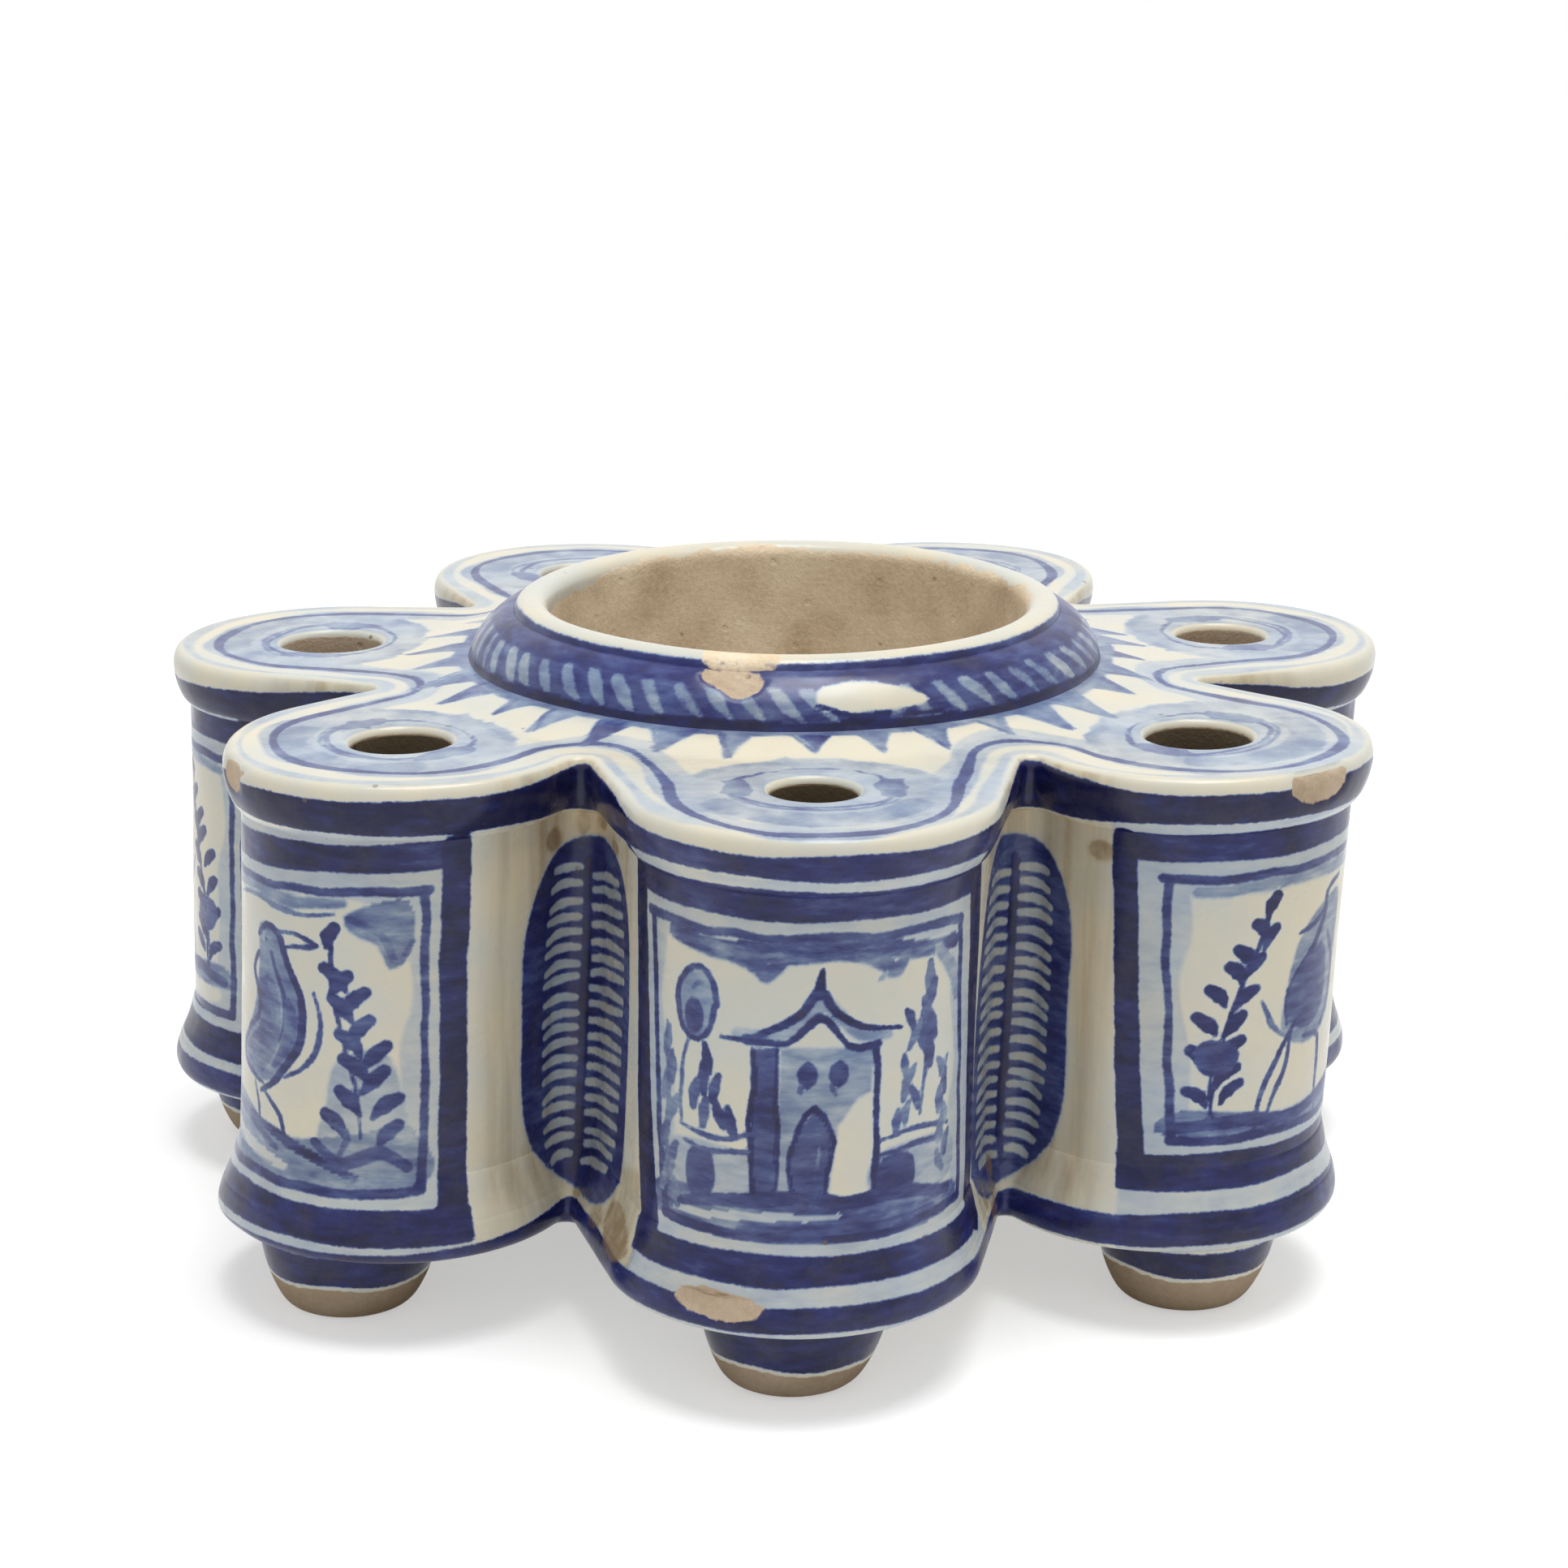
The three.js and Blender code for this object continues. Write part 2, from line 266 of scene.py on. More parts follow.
sag = {  # one lobe's base slumped in the kiln, in mm
    "lobe": 6,
    "down": 2.4,
    "out": 1.0,
    "from": -2.0,  # along the wall from the lobe's middle
    "full": -24.0,
    "end": -46.0,
    "ending": 12.0,
    "inside": 12.0,  # from the lobe's axis: no slump within, and the full slump from there on
    "outside": 18.0,
    "farthest": 30.0,
    "below": 30.0,  # heights
    "fade": 14.0,
    "above": 8.0,
    "rise": 3.0,
}


def slump(places):
    facing = lobeAngle(sag["lobe"])
    spots = places[:, :2] - lobeCentre(sag["lobe"])
    turn = (np.arctan2(spots[:, 1], spots[:, 0]) - facing + math.pi) % (2 * math.pi) - math.pi
    along = turn * pot["lobeRadius"]
    share = np.clip((sag["from"] - along) / (sag["from"] - sag["full"]), 0, 1)
    share *= np.clip((along - sag["end"]) / sag["ending"], 0, 1)
    share = share * share * (3 - 2 * share)
    reach = np.linalg.norm(spots, axis=1)
    share *= np.clip((reach - sag["inside"]) / (sag["outside"] - sag["inside"]), 0, 1)
    share *= reach < sag["farthest"]
    share *= np.clip((sag["below"] - places[:, 2]) / sag["fade"], 0, 1)
    share *= np.clip((places[:, 2] - sag["above"]) / sag["rise"], 0, 1)
    away = spots / np.maximum(reach, 1e-6)[:, None]
    return places + np.column_stack((away * (sag["out"] * share)[:, None], -sag["down"] * share))


def settle(piece, node, cadBody):  # lean, to metres, over the frame's place, and onto its body
    moveVertices(piece, handWaver(slump(vertexPlaces(piece))))
    leanAndPlace = Matrix(((1, 0, pot["lean"], axisX), (0, 1, 0, axisY), (0, 0, 1, 0), (0, 0, 0, 1)))
    piece.data.transform(Matrix.Scale(millimetre, 4) @ leanAndPlace)
    pickAlone(piece)
    bpy.ops.object.shade_smooth_by_angle(angle=meshing["smoothAngle"])
    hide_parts(node)
    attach(piece, cadBody)


def wrapPiece(name, girths, section, fill=False):  # a closed section, carried all along the wall
    section = np.array(section)
    piece, columns, rows = sheetOfGrid(name, len(girths), len(section))
    grow, height = section[rows].T
    moveVertices(piece, np.column_stack((grown(girths[columns], grow), height)))
    setAttribute(piece, "girth", girths[columns])
    setAttribute(piece, "grow", grow)
    closeUp(piece, fill)
    return piece


# A turned piece: a circle, extruded ring by ring along the profile
def turnPiece(name, profile, around, at=(0.0, 0.0), closed=False):
    startClean()
    radius, height = profile[0]
    bpy.ops.mesh.primitive_circle_add(vertices=around, radius=radius, location=(at[0], at[1], height))
    piece = bpy.context.object
    piece.name = name
    bpy.ops.object.transform_apply(location=True, rotation=True, scale=True)
    bpy.ops.object.mode_set(mode="EDIT")
    bpy.ops.mesh.select_all(action="SELECT")
    for nextRadius, nextHeight in profile[1:]:
        bpy.ops.mesh.extrude_edges_move(TRANSFORM_OT_translate={"value": (0, 0, nextHeight - height)})
        share = nextRadius / radius
        bpy.ops.transform.resize(value=(share, share, 1), center_override=(at[0], at[1], nextHeight))
        radius, height = nextRadius, nextHeight
    bpy.ops.object.mode_set(mode="OBJECT")
    closeUp(piece, fill=not closed)
    return piece


# Lobe walls and groove panels: bent slabs with a finely divided face to carry the painting
wallPieces = {
    "faceSpacing": 0.42,  # mm between vertices on the painted face
    "frontSpacing": 0.34,  # the same on the three lobes in front
    "bottom": pot["floorTop"],
    "top": 66.4,
    "innerRows": 5,
}


def wallSection(spacing):
    face = np.arange(wallPieces["bottom"], wallPieces["top"] + spacing / 2, spacing)
    outer = [(0.0, z) for z in face]
    inner = [(-pot["wall"], z) for z in np.linspace(face[-1], face[0], wallPieces["innerRows"])]
    return outer + inner + outer[:1]


def columnsBetween(start, end, spacing):
    return np.linspace(start, end, int(math.ceil((end - start) / spacing)) + 1)


walls = {}
for lobe in range(pot["lobes"]):
    spacing = wallPieces["frontSpacing" if lobe in frontLobes else "faceSpacing"]
    start, end = wallMarks["lobeStart"][lobe], wallMarks["lobeEnd"][lobe]
    name = f"lobeWall{lobe + 1}"
    walls[name] = wrapPiece(name, columnsBetween(start, end, spacing), wallSection(spacing), fill=True)
    following = (lobe + 1) % pot["lobes"]
    start = end
    end = wallMarks["lobeStart"][following]
    end += fullGirth if end < start - 1 else 0
    spacing = wallPieces["frontSpacing" if lobe in (0, pot["lobes"] - 1) else "faceSpacing"]
    name = f"groovePanel{lobe + 1}"
    walls[name] = wrapPiece(name, columnsBetween(start, end, spacing), wallSection(spacing), fill=True)
print("walls bent:", len(walls))

# The whole outline's columns, shared by the pieces that run all round. They meet at the grooves' bottoms.
ringSpacing = 0.66
sectorGirths = []
for lobe in range(pot["lobes"]):
    start, end = wallMarks["groove"][(lobe - 1) % pot["lobes"]], wallMarks["groove"][lobe]
    start -= fullGirth if start > end else 0
    sectorGirths.append(columnsBetween(start, end, ringSpacing))
ringGirths = [sectorGirths[lobe][:-1] for lobe in lobesFromBack]
ringGirths = np.concatenate(ringGirths + [sectorGirths[lobesFromBack[-1]][-1:]])

# The floor slab: a lobed disc whose edge is a fat painted roll
floorSlab = {
    "roll": [(-9, 11.3), (-4, 11.25), (-1.0, 11.3), (0.8, 11.4), (2.0, 11.9), (2.6, 12.9), (2.6, 14.2),
             (2.3, 15.4), (1.9, 16.4), (1.0, 16.8), (-6, 16.8)],
    "spacing": 0.4,
}


def lobedDisc(name, roll, spacing):
    disc = wrapPiece(name, ringGirths, smoothCurve(roll, spacing))
    pickAlone(disc)
    bpy.ops.object.mode_set(mode="EDIT")
    bpy.ops.mesh.select_all(action="SELECT")
    bpy.ops.mesh.fill_holes(sides=0)
    bpy.ops.mesh.select_all(action="SELECT")
    bpy.ops.mesh.normals_make_consistent(inside=False)
    bpy.ops.object.mode_set(mode="OBJECT")
    return disc


floorPiece = lobedDisc("floorSlab", floorSlab["roll"], floorSlab["spacing"])
print("floor slab made")

# The cove pressed into the corner of wall and floor
baseCove = {
    "face": [(1.95, 16.2), (1.75, 16.9), (1.25, 18.1), (0.8, 19.5), (0.45, 21.0), (0.1, 22.2),
             (-0.3, 22.6)],
    "back": [(-0.6, 22.0), (-0.6, 16.2), (1.95, 16.2)],
    "spacing": 0.4,
}
coveSection = np.vstack([smoothCurve(baseCove["face"], baseCove["spacing"]), baseCove["back"]])
covePiece = wrapPiece("baseCove", ringGirths, coveSection)
print("cove made")

# The top slab: a field round each quill hole, joined into one slab with a rolled edge
topSlab = {
    "holeCircle": 64.7,
    "holeRadii": [5.4, 6.7, 6.2, 6.1, 6.3, 6.9, 6.3],  # from the front lobe on
    "holeLip": 1.3,
    "lipTurns": np.radians([0, 22.5, 45, 67.5]),
    "holeShoulder": 69.0,  # the height to which a hole's side is straight
    "fieldRows": 32,
    "cutPoints": 25,  # from a groove to the neck
    "neckPoints": 47,
    "edgeGrow": 1.0,
    "underGrow": 0.0,
    "nosing": [(1.0, 73.6), (1.7, 73.3), (2.1, 72.6), (2.3, 71.4), (2.0, 69.2), (1.3, 67.3), (0.5, 66.3),
               (0.0, 66.0)],
    "nosingSpacing": 0.5,
}


def slabHeight(radius):
    share = np.clip((pot["domeReach"] - radius) / (pot["domeReach"] - pot["domeFoot"]), 0, 1)
    return pot["slabEdge"] + (pot["domeTop"] - pot["slabEdge"]) * share * share * (3 - 2 * share)


def sectorRim(lobe, grow):  # once round a lobe's field: outline, cut line, neck, cut line
    outline = grown(sectorGirths[lobe], np.full(len(sectorGirths[lobe]), grow))
    radii = np.linspace(pot["grooveFloor"] + grow, pot["neck"], topSlab["cutPoints"])
    leaving, coming = grooveAngle(lobe), grooveAngle(lobe - 1)
    coming -= 2 * math.pi if coming > leaving else 0
    neck = polar(pot["neck"], np.linspace(leaving, coming, topSlab["neckPoints"]))
    return np.vstack([outline[:-1], polar(radii, leaving)[:-1], neck[:-1], polar(radii, coming)[::-1]])


def topSector(lobe):
    rim, underRim = sectorRim(lobe, topSlab["edgeGrow"]), sectorRim(lobe, topSlab["underGrow"])
    hole = polar(topSlab["holeCircle"], lobeAngle(lobe))
    holeRadius, lip = topSlab["holeRadii"][lobe], topSlab["holeLip"]
    reach = np.linalg.norm(rim - hole, axis=1)
    direction = (rim - hole) / reach[:, None]
    holeSteps = [(0.0, pot["slabUnderside"]), (0.0, topSlab["holeShoulder"])]
    for turn in topSlab["lipTurns"]:
        holeSteps.append((lip * (1 - math.cos(turn)), pot["slabEdge"] - lip + lip * math.sin(turn)))
    rings = [np.column_stack((underRim, np.full(len(rim), pot["slabUnderside"])))]
    for out, z in holeSteps:
        rings.append(np.column_stack((hole + direction * (holeRadius + out), np.full(len(rim), z))))
    start = holeRadius + lip
    for share in np.linspace(0, 1, topSlab["fieldRows"]):
        spots = hole + direction * (start + share * (reach - start))[:, None]
        rings.append(np.column_stack((spots, slabHeight(np.hypot(*spots.T)))))
    rings = np.array(rings)
    piece, columns, rows = sheetOfGrid(f"topSector{lobe}", len(rim), len(rings))
    moveVertices(piece, rings[rows, columns])
    setAttribute(piece, "girth", np.zeros(len(piece.data.vertices)))
    return piece


def joinPieces(name, pieces):
    startClean()
    for piece in pieces:
        piece.select_set(True)
    bpy.context.view_layer.objects.active = pieces[0]
    bpy.ops.object.join()
    pieces[0].name = name
    return pieces[0]


sectors = [topSector(lobe) for lobe in range(pot["lobes"])]
nosing = wrapPiece("nosing", ringGirths, smoothCurve(topSlab["nosing"], topSlab["nosingSpacing"]))
slabPiece = joinPieces("topSlab", [nosing] + sectors)
closeUp(slabPiece)
pickAlone(slabPiece)
bpy.ops.object.mode_set(mode="EDIT")
bpy.ops.mesh.select_mode(type="EDGE")
bpy.ops.mesh.select_all(action="DESELECT")
bpy.ops.mesh.select_non_manifold(extend=False)
bpy.ops.mesh.bridge_edge_loops()
bpy.ops.mesh.select_mode(type="VERT")
bpy.ops.mesh.select_all(action="SELECT")
bpy.ops.mesh.normals_make_consistent(inside=False)
bpy.ops.object.mode_set(mode="OBJECT")
print("top slab made:", len(slabPiece.data.polygons), "faces")

# The thrown ink well, with its bare inside and glazed rim
inkWell = {
    "around": 320,
    "bottom": [(0.4, 16.7), (30, 16.7), (36.4, 16.7), (37.3, 17.4), (37.6, 19)],
    "outside": 37.6,
    "outsideHeights": [*np.arange(22, 74, 6.0), *np.arange(74, 80.2, 0.8)],
    "rim": [(37.6, 80.5), (37.45, 81.6), (36.9, 82.5), (35.6, 83.0), (34.4, 82.95), (33.5, 82.5),
            (32.9, 81.6), (32.75, 80.4)],
    "rimSpacing": 0.5,
    "inside": [(32.75, 80.4), (32.6, 76), (32.1, 60), (31.7, 42), (31.5, 27), (31.0, 23.4), (29.2, 21.8),
               (26, 21.4), (12, 21.4), (0.4, 21.4)],
    "insideSpacing": 0.9,
}
wellProfile = [*inkWell["bottom"], *((inkWell["outside"], z) for z in inkWell["outsideHeights"])]
wellProfile += [*smoothCurve(inkWell["rim"], inkWell["rimSpacing"])]
wellProfile += [*smoothCurve(inkWell["inside"], inkWell["insideSpacing"])[1:]]
wellPiece = turnPiece("inkWell", wellProfile, inkWell["around"])
print("ink well turned")

# The sloping collar that is painted as a rope
ropeCollar = {
    "around": 560,
    "face": [(43.6, 74.6), (43.2, 75.4), (42.95, 76.4), (41.9, 78.3), (40.3, 80.0), (38.7, 81.1),
             (37.5, 81.5)],
    "back": [(37.2, 81.0), (37.2, 78), (37.2, 74.6)],
    "spacing": 0.42,
}
collarProfile = [*smoothCurve(ropeCollar["face"], ropeCollar["spacing"]), *ropeCollar["back"]]
collarProfile.append(collarProfile[0])
collarPiece = turnPiece("ropeCollar", collarProfile, ropeCollar["around"], closed=True)
print("collar turned")

# Seven bun feet
bunFoot = {
    "reaches": [69.9, 70.5, 70.4, 70.4, 70.4, 70.4, 71.6],  # from the well's axis, from the front foot on
    "turns": [0, -3.1, 0, 0, 0, 0, 0],  # degrees from the lobe's middle
    "around": 96,
    "profile": [(0.3, 0.0), (5.6, 0.0), (7.5, 0.1), (8.6, 0.8), (9.5, 2.2), (10.4, 4.2), (11.3, 7.0),
                (11.7, 9.4), (11.6, 12.0)],
    "spacing": 0.5,
}
footProfile = smoothCurve(bunFoot["profile"], bunFoot["spacing"])
feet, footCentres = [], []
for lobe in range(pot["lobes"]):
    footCentres.append(polar(bunFoot["reaches"][lobe],
                             lobeAngle(lobe) + math.radians(bunFoot["turns"][lobe])))
    feet.append(turnPiece(f"foot{lobe + 1}", footProfile, bunFoot["around"], at=footCentres[-1]))
print("feet turned")

# The loose glazed cup that holds the ink
inkCup = {
    "around": 220,
    "profile": [(0.4, 21.75), (24.6, 21.75), (26.2, 21.9), (28.4, 23.1), (29.4, 25.2), (29.6, 27.8),
                (29.6, 42), (29.6, 57.8), (29.35, 59.1), (28.5, 59.7), (27.5, 59.7), (26.7, 59.1),
                (26.4, 57.8), (26.4, 42), (26.4, 29.8), (25.4, 27.1), (22.4, 25.5), (12, 25.1),
                (0.4, 25.1)],
    "spacing": 1.0,
}
cupPiece = turnPiece("inkCup", smoothCurve(inkCup["profile"], inkCup["spacing"]), inkCup["around"])
print("ink cup turned")

# Painting. Every painted face is a canvas of points with two coordinates in millimetres. Strokes leave a
# cover (1 inside, 0 outside, half on the edge) and a tone on it, which the glaze material reads.
brushwork = {
    "edge": 0.95,  # mm over which a stroke's cover runs out
    "wander": 0.16,  # how far the hand strays from its line, in mm
    "lineTone": 0.8,
    "washTone": 0.3,
    "curveSpacing": 1.3,
    "straightSpacing": 2.5,
    "outlineSpacing": 1.2,
    "seed": 11,
}
handRandom = np.random.default_rng(brushwork["seed"])


def blankCanvas(across, up):
    count = len(across)
    canvas = {name: np.zeros(count) for name in ("line", "wash", "bare", "stainAndShade", "chip", "blank")}
    canvas["lineTone"] = np.full(count, brushwork["lineTone"])
    canvas["washTone"] = np.full(count, brushwork["washTone"])
    canvas["points"] = np.column_stack((across, up))
    return canvas


def wholePanel(canvas):
    return {"canvas": canvas, "index": np.arange(len(canvas["points"])), "points": canvas["points"]}


def panelOf(canvas, origin, reach, wrap=0.0):  # the part of a canvas about an origin, measured from there
    points = canvas["points"].copy()
    points[:, 0] -= origin
    if wrap:
        points[:, 0] = (points[:, 0] + wrap / 2) % wrap - wrap / 2
    index = np.flatnonzero(np.abs(points[:, 0]) < reach)
    return {"canvas": canvas, "index": index, "points": points[index]}


def lay(panel, layer, chosen, depth, tone):  # depth is how far inside the stroke a point lies, in mm
    canvas, at = panel["canvas"], panel["index"][chosen]
    cover = np.clip(0.5 + depth / brushwork["edge"], 0, 1)
    if layer == "reserve":
        canvas["line"][at] = np.minimum(canvas["line"][at], 1 - cover * tone)
        return
    if layer in ("bare", "stainAndShade", "chip", "blank"):
        canvas[layer][at] = np.maximum(canvas[layer][at], cover * tone)
        return
    newer = (cover > 0) & (cover >= np.minimum(canvas[layer][at], 0.5))
    canvas[layer + "Tone"][at] = np.where(newer, tone, canvas[layer + "Tone"][at])
    canvas[layer][at] = np.maximum(canvas[layer][at], cover)


def distanceAlong(points, path):  # nearest distance to a path, and the place along it from 0 to 1
    nearest, place = np.full(len(points), 1e9), np.zeros(len(points))
    for number, (start, end) in enumerate(zip(path, path[1:])):
        run = end - start
        share = np.clip((points - start) @ run / max(run @ run, 1e-9), 0, 1)
        distance = np.linalg.norm(points - start - share[:, None] * run, axis=1)
        closer = distance < nearest
        nearest[closer] = distance[closer]
        place[closer] = (number + share[closer]) / (len(path) - 1)
    return nearest, place


def brush(panel, layer, corners, width, tone=0.85, press=(0.7, 1, 0.6), wander=None):
    corners = np.array(corners, float)
    path = smoothCurve(corners, brushwork["curveSpacing" if len(corners) > 2 else "straightSpacing"])
    wander = brushwork["wander"] if wander is None else wander
    sway = handRandom.normal(0, wander, (max(2, len(path) // 3 + 2), 2))
    steps = np.linspace(0, len(sway) - 1, len(path))
    path = path + np.array([np.interp(steps, np.arange(len(sway)), column) for column in sway.T]).T
    low, high = path.min(axis=0) - width - 1, path.max(axis=0) + width + 1
    chosen = np.flatnonzero(np.all((panel["points"] > low) & (panel["points"] < high), axis=1))
    if len(chosen) == 0:
        return
    nearest, place = distanceAlong(panel["points"][chosen], path)
    half = width / 2 * np.interp(place, np.linspace(0, 1, len(press)), press)
    near = nearest < half + 1
    lay(panel, layer, chosen[near], (half - nearest)[near], tone)


def patch(panel, layer, corners, tone=0.5, rounded=True, ragged=0.0):  # a filled outline
    corners = np.array(corners, float)
    if rounded:
        loop = smoothCurve(np.vstack([corners[-1:], corners, corners[:2]]), brushwork["outlineSpacing"])
        half = len(loop) // 2
        fromFirst = np.linalg.norm(loop - corners[0], axis=1)
        loop = loop[np.argmin(fromFirst[:half + 1]):half + np.argmin(fromFirst[half:]) + 1]
    else:
        loop = np.vstack([corners, corners[:1]])
    if ragged:
        loop = loop + handRandom.normal(0, ragged, loop.shape)
    loop[-1] = loop[0]
    low, high = loop.min(axis=0) - 1, loop.max(axis=0) + 1
    chosen = np.flatnonzero(np.all((panel["points"] > low) & (panel["points"] < high), axis=1))
    if len(chosen) == 0:
        return
    points = panel["points"][chosen]
    nearest, _ = distanceAlong(points, loop)
    inside = np.zeros(len(points), bool)
    for (x0, y0), (x1, y1) in zip(loop, loop[1:]):
        crosses = (y0 > points[:, 1]) != (y1 > points[:, 1])
        inside ^= crosses & (points[:, 0] < x0 + (points[:, 1] - y0) * (x1 - x0) / (y1 - y0 + 1e-12))
    lay(panel, layer, chosen, np.where(inside, nearest, -nearest), tone)


def oval(centre, half, count=10, lean=0.0):
    spots = []
    for turn in np.linspace(0, 2 * math.pi, count, endpoint=False):
        rise = half[1] * math.sin(turn)
        spots.append((centre[0] + half[0] * math.cos(turn) + lean * rise, centre[1] + rise))
    return spots


def slowWave(along, size, length, phase):  # a hand-held line's slow drift
    turns = along / length
    return size * (np.sin(turns + phase) * 0.6 + np.sin(turns * 2.3 + phase * 1.7) * 0.4)


def insideBox(along, up, ends, heights):  # how far inside four sides a point lies
    sideways = np.minimum(along - ends[0], ends[1] - along)
    return np.minimum(sideways, np.minimum(up - heights[0], heights[1] - up))


def band(panel, layer, low, high, start, end, tone, phase=0.0, drift=0.18):  # a stroke between two heights
    along, up = panel["points"].T
    low = low + slowWave(along, drift, 6.0, phase)
    high = high + slowWave(along, drift, 7.3, phase + 2.0)
    depth = insideBox(along, up, (start, end), (low, high))
    chosen = np.flatnonzero(depth > -1)
    lay(panel, layer, chosen, depth[chosen], tone)


# The frame of one lobe's painting: heights and places in mm, from the lobe's middle and the ground
lobeFrames = {
    0: {"top": (63.1, 67.0), "cream": 61.7, "foot": 23.4, "low": (18.0, 21.6), "roll": (12.6, 15.7),
        "nosing": (68.6, 71.6), "left": (-29.2, -25.4), "right": (23.6, 28.6), "inner": (-23.4, 20.4),
        "drift": (0.13, 0.10)},
    1: {"top": (62.7, 66.3), "cream": 61.2, "foot": 25.4, "low": (19.6, 24.1), "roll": (12.9, 17.0),
        "nosing": (67.9, 71.8), "left": (-30.6, -27.6), "right": (24.6, 28.2), "inner": (-23.9, 22.4),
        "drift": (0.08, 0.0)},
    6: {"top": (61.9, 65.6), "cream": 60.4, "foot": 20.0, "low": (14.2, 18.6), "roll": (10.6, 13.0),
        "nosing": (67.4, 71.6), "left": (-28.2, -24.6), "right": (24.3, 27.6), "inner": (-22.4, 22.0),
        "slope": 0.055},
}
plainFrame = {"top": (62.6, 66.2), "cream": 61.1, "foot": 22.4, "low": (17.0, 21.0), "roll": (12.2, 15.4),
              "nosing": (67.0, 70.4), "left": (-28.2, -24.6), "right": (24.6, 28.2), "inner": (-22.4, 22.4)}
frameHand = {
    "slopeFrom": 40,  # heights between which a sloping frame's rows take up their slope
    "slopeFull": 60,
    "driftFrom": 60,  # the height from which a frame's sides drift downwards to the right
    "halfPicture": 12,
    "veil": 2.4,  # how far the thin blue over the frame reaches into the picture
    "veilTone": 0.19,
}


def paintFrame(panel, lobe):
    rows = lobeFrames.get(lobe, plainFrame)
    across, up = panel["points"].T
    half = frameHand["halfPicture"]
    sloping = (up - frameHand["slopeFrom"]) / (frameHand["slopeFull"] - frameHand["slopeFrom"])
    sloping = np.clip(sloping, 0, 1)
    up = up + (half - across) * rows.get("slope", 0.0) * sloping
    driftLeft, driftRight = rows.get("drift", (0.0, 0.0))
    share = np.clip((across + half) / (2 * half), 0, 1)
    straight = across - (frameHand["driftFrom"] - up) * (driftLeft * (1 - share) + driftRight * share)
    panel = dict(panel, points=np.column_stack((straight, up)))
    outerLeft, outerRight = rows["left"][0], rows["right"][1]
    innerLeft, innerRight = rows["inner"]
    inPicture = insideBox(straight, up, (innerLeft, innerRight), (rows["foot"], rows["cream"]))
    inFrame = insideBox(straight, up, (outerLeft, outerRight), (rows["roll"][0] - 2, rows["nosing"][0]))
    veil = np.minimum(inFrame, frameHand["veil"] + slowWave(straight + up, 1.2, 6.0, lobe) - inPicture)
    lay(panel, "wash", slice(None), veil, frameHand["veilTone"])
    band(panel, "line", *rows["top"], outerLeft, outerRight, 0.86, lobe)
    band(panel, "line", *rows["low"], outerLeft - 0.4, outerRight + 0.4, 0.92, lobe + 1)
    for side in ("left", "right"):
        middle = sum(rows[side]) / 2
        width = rows[side][1] - rows[side][0] + 0.3
        post = [(middle, rows["top"][1] - 1), (middle - 0.2, 45), (middle + 0.1, rows["low"][0] + 2)]
        brush(panel, "line", post, width, 0.95, press=(1.0, 0.96, 1.05), wander=0.1)
    cream, foot = rows["cream"], rows["foot"]
    headLine = [(innerLeft - 0.6, cream - 0.9), (-6, cream - 0.6), (8, cream - 0.7),
                (innerRight + 0.6, cream - 0.9)]
    brush(panel, "line", headLine, 1.25, 0.72, press=(1, 0.8, 1))
    for edge, bulge, press in ((innerLeft, -0.3, 0.85), (innerRight, 0.2, 0.8)):
        sideLine = [(edge, cream - 1), (edge + bulge, 44), (edge, foot + 1)]
        brush(panel, "line", sideLine, 1.15, 0.74, press=(1, press, 1.1))
    footLine = [(innerLeft, foot + 0.7), (-7, foot + 0.4), (9, foot + 0.5), (innerRight, foot + 0.8)]
    brush(panel, "line", footLine, 1.3, 0.78, press=(1, 0.9, 1))


def sprig(panel, stem, leaves, tone=0.8, leafLength=3.4, leafWidth=1.8):  # a leaf: its tip, and its side
    brush(panel, "line", stem, 0.8, tone, press=(0.9, 0.8, 0.5))
    for across, up, side in leaves:
        root = (across - side * leafLength * 0.72, up - leafLength * 0.75)
        middle = ((across + root[0]) / 2 - side * 0.3, (up + root[1]) / 2 + 0.25)
        brush(panel, "line", [(across, up), middle, root], leafWidth, tone, press=(0.75, 1, 0.3))


def dabs(panel, spots, size, tone=0.75, layer="line"):  # short leaning touches of the brush
    for across, up in spots:
        lean = handRandom.uniform(-0.8, 0.8)
        stroke = [(across - lean, up - size * 0.7), (across, up), (across + lean, up + size * 0.7)]
        brush(panel, layer, stroke, size * 0.75, tone + handRandom.uniform(-0.15, 0.1), press=(0.6, 1, 0.5))


